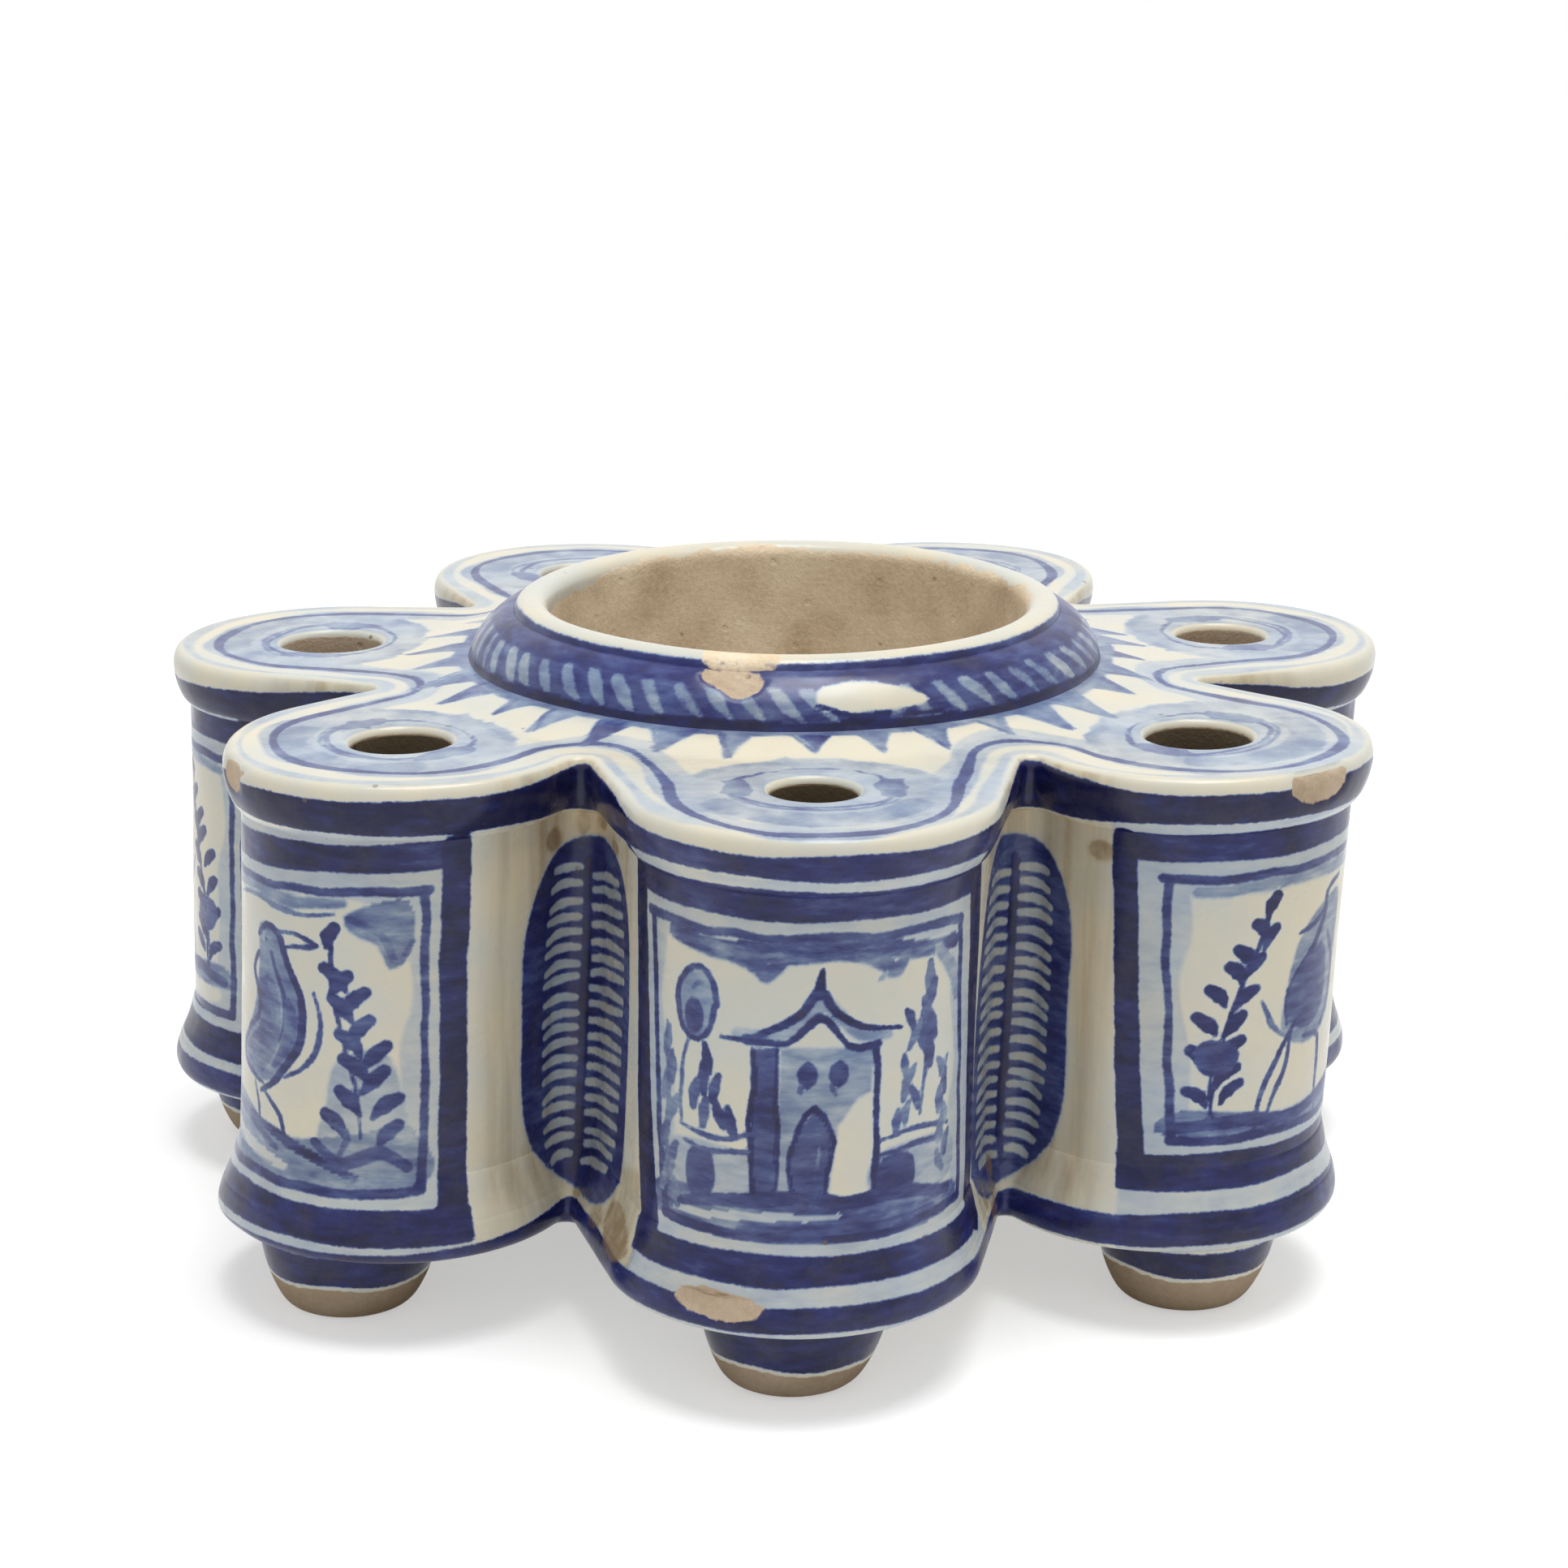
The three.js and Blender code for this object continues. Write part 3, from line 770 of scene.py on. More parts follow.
def paintTower(panel):
    # the sky, in hanging strokes of thin blue
    brush(panel, "wash", [(-19, 59.6), (-12, 58.9), (-6, 59.2), (2, 59.6), (10, 59), (19.5, 58.4)],
          3.0, 0.66)
    brush(panel, "wash", [(-12, 59), (-7.5, 58), (-6, 56.6), (-4, 58.2)], 2.8, 0.6)
    brush(panel, "wash", [(5, 58.8), (8.6, 57.4), (9.6, 56.2), (11.5, 58.4)], 2.2, 0.58)
    brush(panel, "line", [(-13, 59.2), (-7, 58.4), (-4.2, 59.3)], 1.1, 0.5, press=(0.3, 1, 0.3))
    brush(panel, "wash", [(16, 58), (19, 55), (20.2, 51)], 2.2, 0.4)
    brush(panel, "line", [(7.4, 55.6), (8.6, 56.2)], 0.9, 0.4)
    # the tree with the oval crown
    crown = oval((-15.1, 51.7), (3.0, 4.5), lean=0.05)
    patch(panel, "wash", crown, 0.36)
    brush(panel, "line", crown + crown[:1], 0.95, 0.72, press=(1, 0.8, 1, 0.7, 1))
    patch(panel, "line", oval((-15.3, 50.0), (1.5, 2.3)), 0.66)
    brush(panel, "line", [(-15.6, 53.6), (-14.2, 54.6)], 0.7, 0.5)
    brush(panel, "line", [(-16.0, 47.2), (-17.0, 42), (-16.6, 36)], 0.7, 0.62)
    # the tower's walls
    patch(panel, "wash", [(-4, 47.8), (7.2, 47.8), (7.2, 42), (5.4, 41.2), (3.2, 38), (2.4, 29.4),
                          (-4, 29.2)], 0.36, rounded=False)
    patch(panel, "line", [(-7.6, 47.2), (-4.4, 47.8), (-4.1, 38), (-3.6, 28.6), (-6.9, 28.6), (-7.2, 38)],
          0.70, rounded=False)
    brush(panel, "line", [(-7.3, 47), (-7.0, 38), (-6.6, 28.8)], 0.8, 0.9)
    brush(panel, "line", [(-4.4, 47.4), (-4.0, 38), (-3.5, 28.8)], 0.7, 0.86)
    brush(panel, "line", [(7.4, 47.6), (7.9, 38), (8.2, 28.8)], 1.0, 0.82, press=(1, 0.8, 1.1))
    # the curved roof and its finial
    brush(panel, "wash", [(-9.5, 48.6), (-4, 49.4), (-0.8, 52), (0.6, 53.4), (2.4, 51.8), (5.4, 49.2),
                          (9, 48.9)], 2.0, 0.34)
    brush(panel, "line", [(-11.6, 48.1), (-5.4, 49.4), (-1.6, 52), (0.6, 54.9), (2.9, 52.1), (6.2, 50.0),
                          (10.9, 49.6)], 1.0, 0.84, press=(0.5, 0.9, 1.3, 0.9, 0.4))
    brush(panel, "line", [(-8.2, 48.4), (-3.4, 48.3), (-1.2, 50.1), (0.7, 51.8), (2.4, 50.0), (4.2, 48.0),
                          (7.6, 47.8)], 1.0, 0.8, press=(1.3, 0.8, 1.1, 0.8, 1.1))
    brush(panel, "line", [(0.6, 54.4), (0.5, 56), (0.5, 57.4)], 1.3, 0.86, press=(1, 0.9, 0.4))
    # windows and door
    for across, up in ((-0.7, 44.4), (3.0, 44.5)):
        patch(panel, "line", oval((across, up), (1.25, 1.75), 8), 0.74)
        brush(panel, "line", [(across - 0.9, up - 1.4), (across - 0.6, up - 2.4)], 0.7, 0.6)
    door = [(-2.1, 29.6), (-2.3, 33.5), (-1.6, 37.2), (0.5, 40.4), (2.3, 37.2), (2.6, 33.5), (2.2, 29.6)]
    patch(panel, "line", door, 0.66, rounded=False)
    brush(panel, "line", door, 0.75, 0.86)
    brush(panel, "reserve", [(0.8, 37.4), (0.9, 34), (0.4, 31)], 0.75, 0.6, press=(0.3, 1, 0.3))
    # fences and what grows before them
    for path in ([(-16.4, 36.4), (-13, 35.6), (-10.4, 35.6), (-7, 36.4)],
                 [(-16, 34.4), (-12, 33.8), (-7.2, 34.2)], [(8.4, 35.5), (13, 36.2), (19.8, 35.4)],
                 [(8.6, 33.6), (13, 34.0), (19.6, 33.2)]):
        brush(panel, "line", path, 0.8, 0.68, press=(0.6, 1, 0.8))
    patch(panel, "line", [(-15.2, 33.4), (-12, 33.4), (-11.6, 28.6), (-15, 28.2)], 0.68)
    patch(panel, "line", [(8.7, 33.0), (13.2, 33.0), (13.4, 28.6), (8.8, 28.6)], 0.7)
    patch(panel, "wash", [(-19, 34), (-7, 34), (-7, 28), (-19, 27)], 0.28)
    patch(panel, "wash", [(8.5, 34), (20, 34), (20.3, 28), (8.5, 28)], 0.3)
    dabs(panel, [(-13.0, 45), (-13.6, 42.8), (-12.0, 41.6), (-14.6, 40.6), (-11.4, 38.6), (-13.2, 38.4),
                 (-9.6, 37.8)], 2.3, 0.72)
    dabs(panel, [(-19.4, 46), (-18.6, 43), (-19.6, 40.4), (-18.2, 37.6), (-19.2, 34.6), (-18, 31.8),
                 (-18.8, 29), (-17.2, 27.4)], 2.4, 0.6)
    brush(panel, "line", [(-19.6, 48), (-19, 40), (-19.2, 32), (-17.8, 26)], 0.8, 0.55)
    # the tall tree at the right
    brush(panel, "line", [(15.1, 56), (14.8, 50), (14.9, 44), (14.2, 37.5)], 0.9, 0.6)
    dabs(panel, [(15, 54.6), (15.2, 52.6), (14.6, 50.6), (15.6, 49.2), (14.4, 47.4), (15.4, 45.6)],
         2.6, 0.62)
    dabs(panel, [(12.0, 50.2), (12.8, 48), (11.6, 44.6), (12.6, 43), (11.8, 41.4), (13.4, 40), (12, 38.6),
                 (10.8, 37.6)], 1.9, 0.58)
    dabs(panel, [(17.6, 43), (18.6, 40.8), (17.4, 38.8), (18.8, 36.8), (18, 34.6), (19.4, 32.8),
                 (18.2, 30.8)], 1.9, 0.62)
    brush(panel, "line", [(18.6, 44), (18.2, 38), (18.8, 31)], 0.7, 0.55)
    # the ground
    brush(panel, "line", [(-16.5, 26.6), (-10, 27.8), (-2, 28.8), (4, 28.4), (12, 28.4), (20.5, 26.6)], 2.0,
          0.72, press=(0.6, 1, 0.9, 1, 0.6))
    patch(panel, "wash", [(-19.5, 28.4), (0, 28.2), (20.5, 27.4), (20.5, 23.6), (0, 23.0), (-19.5, 24)],
          0.54)
    brush(panel, "line", [(-8, 24.6), (0, 24.9), (8, 24.8), (17.5, 25.2)], 1.5, 0.66,
          press=(0.5, 1, 0.8, 0.5))
    brush(panel, "wash", [(-17, 25.6), (-6, 26.2), (4, 26.4)], 1.2, 0.2)
    brush(panel, "reserve", [(-15, 26.0), (-5, 26.7), (3, 27.0)], 0.8, 0.5)


def placing(flip, lift):  # a picture's points turned over and lifted, and its leaves with them
    def placed(points):
        return [(flip * across, up + lift, *(flip * side for side in sides))
                for across, up, *sides in points]
    return placed


def paintBirdAndSprig(panel, flip=1, lift=0.0):  # a long-necked bird beside a leafy branch
    placed = placing(flip, lift)
    patch(panel, "wash", placed([(-2, 54), (2.6, 53), (4.4, 48), (6, 44), (6, 40), (2, 34.5), (-4, 33),
                                 (-8, 36), (-4, 42), (-2.4, 48)]), 0.46)
    patch(panel, "wash", placed([(-6.5, 36.6), (-2, 41), (-2.6, 46), (1, 47), (2.4, 41), (-1, 34.6),
                                 (-5, 34.4)]), 0.6)
    brush(panel, "line", placed([(-2.2, 52.6), (-0.2, 54.3), (2.4, 53.2), (3.6, 50), (5.4, 46.2), (6.3, 42),
                                 (4.8, 37.6), (1.4, 33.8), (-2, 32.2)]), 1.2, 0.78,
          press=(0.6, 1, 0.9, 1.2, 1, 0.6))
    brush(panel, "line", placed([(2.0, 53.6), (5, 53.8), (8.4, 52.9), (5, 52.4), (2.4, 51.8)]), 0.75, 0.72)
    brush(panel, "line", placed([(-2.4, 50), (-3.6, 47.4), (-2.0, 43.4), (-4.6, 39.6), (-6.9, 37)]),
          1.0, 0.74)
    brush(panel, "line", placed([(0.2, 50.6), (2.4, 46.8), (3.2, 43), (2.2, 39)]), 0.9, 0.72)
    brush(panel, "line", placed([(-1.4, 46), (0.8, 43.6), (1.0, 40), (-0.6, 37)]), 0.8, 0.6)
    patch(panel, "line", placed([(3.4, 45.4), (5.2, 43.4), (4.8, 39.6), (2.4, 36.4), (0.4, 35.4),
                                 (2.6, 39.6)]), 0.62)
    brush(panel, "line", placed([(7.9, 46.4), (8.9, 43), (8.4, 39.6), (6.4, 36.6), (3.6, 34.8)]), 1.0, 0.66,
          press=(0.5, 1, 0.5))
    brush(panel, "line", placed([(-6.9, 37), (-7.2, 34.8), (-4, 33.4), (-1, 33.2)]), 0.9, 0.7)
    patch(panel, "line", placed(oval((-0.6, 52.3), (0.5, 0.5), 6)), 0.9)
    brush(panel, "line", placed([(-1, 31.8), (1, 30.4), (2.7, 28.8), (3.4, 25.6)]), 0.85, 0.7)
    brush(panel, "line", placed([(-3.6, 32.4), (-2.6, 29.4), (-2.2, 26)]), 0.75, 0.62)
    stem = placed([(10.6, 54.4), (10.4, 48), (11.6, 41), (13.6, 35), (14.4, 28.4)])
    tips = [(10.6, 55.6, 0.4), (12.9, 49.6, 1), (9.6, 50.2, -1), (14.9, 47.2, 1), (10.4, 46.2, -1),
            (15.3, 43.6, 1), (11.6, 41.8, -1), (17.4, 40.4, 1), (12.2, 38.4, -1), (17.4, 37.2, 1),
            (11.4, 34.4, -1), (18.7, 33.8, 1), (9.6, 31.2, -1), (19.2, 30.2, 1)]
    sprig(panel, stem, placed(tips), 0.74, leafLength=3.8, leafWidth=2.2)
    patch(panel, "wash", placed([(11, 38), (17, 40), (19.6, 34), (19.4, 27), (9, 27), (9.6, 32)]), 0.26)
    patch(panel, "wash", placed([(12.6, 57.5), (20, 59.4), (20.6, 53), (18, 50.4), (16.2, 53.6), (13, 55)]),
          0.5)
    brush(panel, "line", placed([(13, 56.6), (17, 54.8), (18.8, 51.2), (20.4, 54)]), 1.1, 0.6)
    patch(panel, "wash", placed([(-20, 29), (-8, 30), (2, 27), (13, 28.6), (20.4, 30), (20.4, 21.5),
                                 (-20, 21.5)]), 0.42)
    brush(panel, "wash", placed([(-6, 28.2), (2, 26.8), (9, 24.4), (14, 22.6)]), 1.6, 0.68)
    brush(panel, "wash", placed([(-14, 25.2), (-6, 24.2), (3, 22.8)]), 1.8, 0.14)
    brush(panel, "line", placed([(-18, 27.6), (-10, 28.6), (-3, 27), (1.5, 24.8)]), 1.7, 0.6,
          press=(0.5, 1, 0.6))
    brush(panel, "line", placed([(8, 27.0), (12, 24.6), (17, 26.6), (20.2, 24.4)]), 2.0, 0.66,
          press=(0.6, 1, 0.7))
    brush(panel, "line", placed([(10.5, 30), (12.8, 28.4), (11.4, 25.8)]), 1.1, 0.6)
    brush(panel, "reserve", placed([(-12, 24.6), (-4, 23.6), (4, 22.9), (10, 23)]), 1.3, 0.8)
    brush(panel, "wash", placed([(-20, 58.2), (-12, 57.6), (-4, 58.6), (4, 58.0), (12, 58.6)]), 2.2, 0.42)
    brush(panel, "line", placed([(-9, 56.4), (-2, 57.2), (6, 56.6), (11, 57.4)]), 0.9, 0.5,
          press=(0.4, 1, 0.5))


def paintSprigAndBird(panel, flip=1, lift=0.0):  # a leaning branch, with the bird beyond it
    placed = placing(flip, lift)
    tips = [(-9.4, 57.6, 0.5), (-12.2, 54.2, -1), (-9.4, 53.4, 0.6), (-14.2, 51, -1), (-11, 49.8, 0.8),
            (-15.6, 49, -1), (-11.8, 45.8, 1), (-17.8, 46, -1), (-13, 42.2, 1), (-18.8, 42.2, -1),
            (-13.2, 39.2, 1), (-19.4, 38, -1), (-13.8, 35.6, 1)]
    stem = placed([(-9.6, 57), (-11.4, 51), (-13.8, 45), (-15.6, 39), (-16.6, 33.6), (-16.2, 29)])
    sprig(panel, stem, placed(tips), 0.82, leafLength=3.2, leafWidth=2.1)
    patch(panel, "line", placed([(-19, 38.6), (-16.4, 39.4), (-13.4, 38), (-13.8, 35.2), (-16.8, 34.4),
                                 (-18.8, 36)]), 0.66)
    sprig(panel, placed([(-16.4, 34), (-16.2, 29.4)]), placed([(-19.6, 33, -1), (-12.8, 33.4, 1)]), 0.8)
    patch(panel, "wash", placed([(-4.6, 51.6), (0, 55), (4.6, 55), (4.4, 46), (3.4, 39), (-2, 36.6),
                                 (-7, 38.8), (-6.6, 45)]), 0.42)
    brush(panel, "line", placed([(4, 57.4), (0.8, 56.2), (0.4, 53), (-1.8, 49.4), (-4.8, 46.6),
                                 (-6.8, 43.4), (-6.2, 39.6)]), 1.1, 0.72)
    brush(panel, "line", placed([(-4.8, 51.6), (-2.2, 52.6), (0.2, 53.6)]), 0.9, 0.72)
    patch(panel, "line", placed([(-5.2, 46.2), (-0.4, 49.4), (1.6, 47), (1.4, 41), (-2.2, 38.6),
                                 (-6.2, 40.8)]), 0.64)
    brush(panel, "line", placed([(1.8, 50.4), (3.6, 46), (3.4, 41), (1.4, 38)]), 1.0, 0.66)
    brush(panel, "line", placed([(-4.6, 39.8), (-7.6, 36), (-9.4, 31.4), (-10.2, 27)]), 1.0, 0.74)
    brush(panel, "line", placed([(-5.4, 38.6), (-6, 34), (-8.2, 29.6), (-8.4, 26.4)]), 0.9, 0.7)
    brush(panel, "line", placed([(-2.6, 37.6), (0.8, 36.8), (1.4, 31), (1.6, 26.4)]), 0.9, 0.66)
    brush(panel, "line", placed([(-10.6, 44), (-9, 40.6), (-6.8, 38.6)]), 1.0, 0.6, press=(0.4, 1, 0.5))
    patch(panel, "wash", placed([(-20.4, 30), (-12, 29.4), (-4, 28.4), (6, 30), (14, 31), (20.6, 29),
                                 (20.6, 26.4), (-20.4, 26.6)]), 0.5)
    brush(panel, "line", placed([(-20.6, 27.8), (-13, 28.6), (-6, 27.2), (3, 28.4), (12, 29.4),
                                 (20.5, 27.6)]), 1.9, 0.72, press=(0.8, 1, 0.8, 1, 0.7))
    brush(panel, "wash", placed([(-20, 58.6), (-12, 59.2), (-4, 59.4), (6, 58.8), (19.5, 59)]), 2.0, 0.36)
    sprig(panel, placed([(13, 52), (13.6, 44), (13, 36), (13.4, 30)]),
          placed([(15.6, 50, 1), (10.8, 48, -1), (16.4, 44.6, 1), (10.2, 42.4, -1), (16.8, 38.8, 1),
                  (10.4, 36.8, -1)]), 0.72)


# The dark oval of each groove, with its rows of light dashes: places in mm from the groove's bottom
grooveOvals = {
    6: {"reach": (-10.7, 17.2), "dashes": ((-6.2, -1.4), (0.5, 13.6)), "spine": -0.5, "rise": (-0.4, 3.0)},
    0: {"reach": (-17.6, 10.7), "dashes": ((-13.8, -0.4), (1.6, 6.6)), "spine": 0.6, "rise": (2.6, -0.4)},
}
plainOval = {"reach": (-13.5, 13.5), "dashes": ((-9.6, -0.9), (0.9, 9.6)), "spine": 0.0, "rise": (1.0, 1.0)}
ovalRows = {
    "low": 16.6,
    "high": 63.2,
    "rungs": 19,
    "firstRung": 20.6,
    "lastRung": 58.6,
    "sidePower": 2.5,  # a squarish oval: 2 for all three would be an ellipse
    "endPower": 3.4,
    "meanPower": 2.9,
    "narrowing": 3.2,
    "dashWidth": 1.4,
    "tone": {0: 0.72},  # thinner blue in the groove at the right of the front lobe
    "plainTone": 0.80,
    "veil": {0: 0.2},
    "plainVeil": 0.25,
}


def paintGroove(panel, groove):
    shape = grooveOvals.get(groove, plainOval)
    start, end = shape["reach"]
    middle, half = (start + end) / 2, (end - start) / 2
    centreUp, halfUp = (ovalRows["low"] + ovalRows["high"]) / 2, (ovalRows["high"] - ovalRows["low"]) / 2
    along, up = panel["points"].T
    sway = slowWave(up, 0.5, 9.0, groove)
    sideways = np.abs((along - middle - sway) / half) ** ovalRows["sidePower"]
    endways = np.abs((up - centreUp) / halfUp) ** ovalRows["endPower"]
    depth = (1 - (sideways + endways) ** (1 / ovalRows["meanPower"])) * half
    chosen = np.flatnonzero(depth > -1)
    lay(panel, "line", chosen, depth[chosen], ovalRows["tone"].get(groove, ovalRows["plainTone"]))
    lay(panel, "wash", chosen, depth[chosen] + 0.2, ovalRows["veil"].get(groove, ovalRows["plainVeil"]))
    for height in np.linspace(ovalRows["firstRung"], ovalRows["lastRung"], ovalRows["rungs"]):
        level = abs(height - centreUp) / halfUp
        narrow = math.sqrt(1 - level ** ovalRows["narrowing"])
        for side, (near, far) in enumerate(shape["dashes"]):
            inner, outer = (far, near) if side == 0 else (near, far)
            outer = inner + (outer - inner) * narrow
            rise = shape["rise"][side] * narrow
            droop = handRandom.uniform(0.0, 0.5) - rise
            jitter = handRandom.uniform(-0.25, 0.25) - rise * 0.3
            dash = [(inner, height), ((inner + outer) / 2, height + 0.15 + rise * 0.45),
                    (outer, height - droop)]
            dash = [(across, place + jitter) for across, place in dash]
            brush(panel, "reserve", dash, ovalRows["dashWidth"], 0.96, press=(0.75, 1, 0.75), wander=0.08)
    spine = shape["spine"]
    brush(panel, "line", [(spine, 60), (spine + 0.2, 40), (spine, 19)], 1.2, 0.95, press=(0.9, 1, 0.9),
          wander=0.12)


longStrokes = {
    "lobeReach": 20,  # to either side of a lobe's middle, heights as in its frame
    "grooveRoll": (11.9, 15.6),
    "grooveNosing": (66.6, 72.9),
    "rollTone": 0.88,
    "nosingTone": 1.0,
    "frontNosingTone": 0.84,
    "frontReach": 27,  # mm to either side of the front lobe's middle that have this tone
}


def paintRollAndNosing(canvas):  # the long strokes that run round the whole stand
    along, up = canvas["points"].T
    everywhere = wholePanel(canvas)
    knots = []
    for lobe in range(pot["lobes"]):
        rows = lobeFrames.get(lobe, plainFrame)
        for side in (-1, 0, 1):
            place = wallMarks["lobeMiddle"][lobe] + side * longStrokes["lobeReach"]
            knots.append((place, *rows["roll"], *rows["nosing"]))
        knots.append((wallMarks["groove"][lobe], *longStrokes["grooveRoll"], *longStrokes["grooveNosing"]))
    knots = np.array(knots)
    knots[:, 0] = (knots[:, 0] - pathGirths[0]) % fullGirth
    knots = knots[np.argsort(knots[:, 0])]
    place = (along - pathGirths[0]) % fullGirth
    heights = [np.interp(place, knots[:, 0], column, period=fullGirth) for column in knots[:, 1:].T]
    rollLow, rollHigh, nosingLow, nosingHigh = heights
    drift = slowWave(along, 0.22, 7.0, 0.6)
    depth = np.minimum(up - rollLow - drift, rollHigh - up + drift)
    lay(everywhere, "line", slice(None), depth, longStrokes["rollTone"])
    inFront = np.abs((along + fullGirth / 2) % fullGirth - fullGirth / 2) < longStrokes["frontReach"]
    tone = np.where(inFront, longStrokes["frontNosingTone"], longStrokes["nosingTone"])
    lay(everywhere, "line", slice(None), np.minimum(up - nosingLow + drift, nosingHigh + drift * 1.5 - up),
        tone)


grooveShadeAndBrown = {  # brown in the grooves, partly thin glaze and partly painted shade, and dark spots at their ends, in mm
    "reach": 26,
    "half": 13,  # brown to this far from a groove's bottom, and fading from there
    "fade": 5,
    "foot": 12,  # clean at this height, and brown once it has risen
    "rise": 6,
    "spots": 5,
    "spread": 15,
    "low": (13, 21),  # heights between which the spots lie
    "high": (60, 66),
    "darkPatches": {  # groove: outlines and how dark they are
        6: [([(-8, 21), (8, 22), (24, 27), (27, 20), (24, 13.6), (4, 13.4), (-8, 16)], 0.85),
            ([(14, 19.5), (17, 21), (22, 19.8), (25, 17), (22, 14.6), (17, 15), (14, 17)], 1.6),
            ([(8, 17), (12, 18.4), (14, 16), (10, 14.4)], 1.3)],
    },
}
lobeReach = 34  # mm to either side of a lobe's middle that its picture may cover


# brown towards each groove's bottom, rising from its foot: partly thin glaze, partly painted shade in the
# groove
def shadeAndBrownGroove(panel, groove):
    along, up = panel["points"].T
    inGroove = 1 - np.clip((np.abs(along) - grooveShadeAndBrown["half"]) / grooveShadeAndBrown["fade"], 0, 1)
    streaks = 0.75 + 0.25 * np.sin(along * 1.3 + groove) * np.sin(along * 0.47 + 2 * groove)
    amount = inGroove * streaks * np.clip((up - grooveShadeAndBrown["foot"]) / grooveShadeAndBrown["rise"], 0, 1)
    stainAndShade = panel["canvas"]["stainAndShade"]
    stainAndShade[panel["index"]] = np.maximum(stainAndShade[panel["index"]], amount)


# dark brown spots near a groove's top and foot, and the listed dark patches
def darkSpotsInGroove(panel, groove):
    for _ in range(grooveShadeAndBrown["spots"]):
        across = handRandom.uniform(-grooveShadeAndBrown["spread"], grooveShadeAndBrown["spread"])
        up = handRandom.choice([handRandom.uniform(*grooveShadeAndBrown["low"]),
                                handRandom.uniform(*grooveShadeAndBrown["high"])])
        spot = oval((across, up), (handRandom.uniform(1.2, 2.8), handRandom.uniform(0.8, 2.2)), 8)
        patch(panel, "stainAndShade", spot, handRandom.uniform(1.2, 1.6))
    for outline, tone in grooveShadeAndBrown["darkPatches"].get(groove, []):
        patch(panel, "stainAndShade", outline, tone)


def paintWalls(canvas):
    for groove in range(pot["lobes"]):
        panel = panelOf(canvas, wallMarks["groove"][groove], grooveShadeAndBrown["reach"], fullGirth)
        shadeAndBrownGroove(panel, groove)
        paintGroove(panel, groove)
        darkSpotsInGroove(panel, groove)
    for lobe in range(pot["lobes"]):
        panel = panelOf(canvas, wallMarks["lobeMiddle"][lobe], lobeReach, fullGirth)
        paintFrame(panel, lobe)
        if lobe == 0:
            paintTower(panel)
        elif lobe == 6:
            paintBirdAndSprig(panel, lift=-0.6)
        elif lobe == 1:
            paintSprigAndBird(panel)
        elif lobe in (2, 4):
            paintBirdAndSprig(panel, flip=-1 if lobe == 2 else 1, lift=0.4)
        else:
            paintSprigAndBird(panel, flip=1 if lobe == 3 else -1)
    paintRollAndNosing(canvas)


chips = [  # where the glaze has come off: lobe, mm along from its middle, height, half sizes
    (0, -9.6, 15.3, 5.4, 1.7),
    (1, -5.6, 72.4, 4.1, 3.2),
    (6, -6.0, 71.6, 3.2, 1.9),
    (6, -2.6, 72.6, 1.0, 0.7),
    (3, 6, 14.2, 3.2, 1.2),
    (4, -9, 72.4, 2.4, 1.0),
    (2, 12, 70.4, 1.6, 0.9),
]


def paintChips(canvas):
    for lobe, along, up, halfAcross, halfUp in chips:
        panel = panelOf(canvas, wallMarks["lobeMiddle"][lobe], lobeReach, fullGirth)
        shape = oval((along, up), (halfAcross, halfUp), 9)
        shape = [(x + handRandom.normal(0, 0.25), z + handRandom.normal(0, 0.15)) for x, z in shape]
        patch(panel, "bare", shape, 1.0)
        patch(panel, "chip", shape, 1.0)


# The top's painting, in plan
topPainting = {
    "lineInset": 4.0,  # the blue line's distance inside the edge
    "frontCloser": 4.1,  # how much closer it runs to the edge on the front lobe
    "frontReach": 26,
    "rightCloser": 2.6,  # and on the lobe to its right
    "lineWidth": (0.66, 0.16),  # half the width, and how much it swells
    "lineTone": 0.66,
    "frontWider": 0.15,
    "insideBlue": (3.4, 0.2),  # thin blue inside the line: how far it reaches, and its tone
    "aboutBlue": (1.5, 0.26),  # and about the line
    "edgeBlue": (0.7, 0.2),  # and on the slab's edge
    "thinBlue": 0.27,
    "ring": (7.9, 10.2),  # the ring about a quill hole
    "lobePanel": (24, 40),  # half the width, and the least reach, of the panel about a hole
    "petals": 34,
    "petalGirth": 48,  # the radius at which the petals are measured
    "petalRoot": 44.4,
    "petalTip": 51.6,
    "collarFoot": 45.3,
    "collarFootTone": 0.48,
}
outlineSampling = {"step": 0.3, "block": 4000}  # mm along the path, and spots taken at a time


def outlineDistance(spots):  # distance inside the wall's path, and the girth of its nearest place
    girths = np.arange(pathGirths[0], pathGirths[-1], outlineSampling["step"])
    track, headings = alongWall(girths)
    outwards = polar(1.0, headings)
    insets, nearest = [], []
    for start in range(0, len(spots), outlineSampling["block"]):
        block = spots[start:start + outlineSampling["block"]]
        squares = ((block[:, None, :] - track[None, :, :]) ** 2).sum(axis=2)
        best = squares.argmin(axis=1)
        outside = ((block - track[best]) * outwards[best]).sum(axis=1) > 0
        insets.append(np.sqrt(squares[np.arange(len(block)), best]) * np.where(outside, -1, 1))
        nearest.append(girths[best])
    return np.concatenate(insets), np.concatenate(nearest)


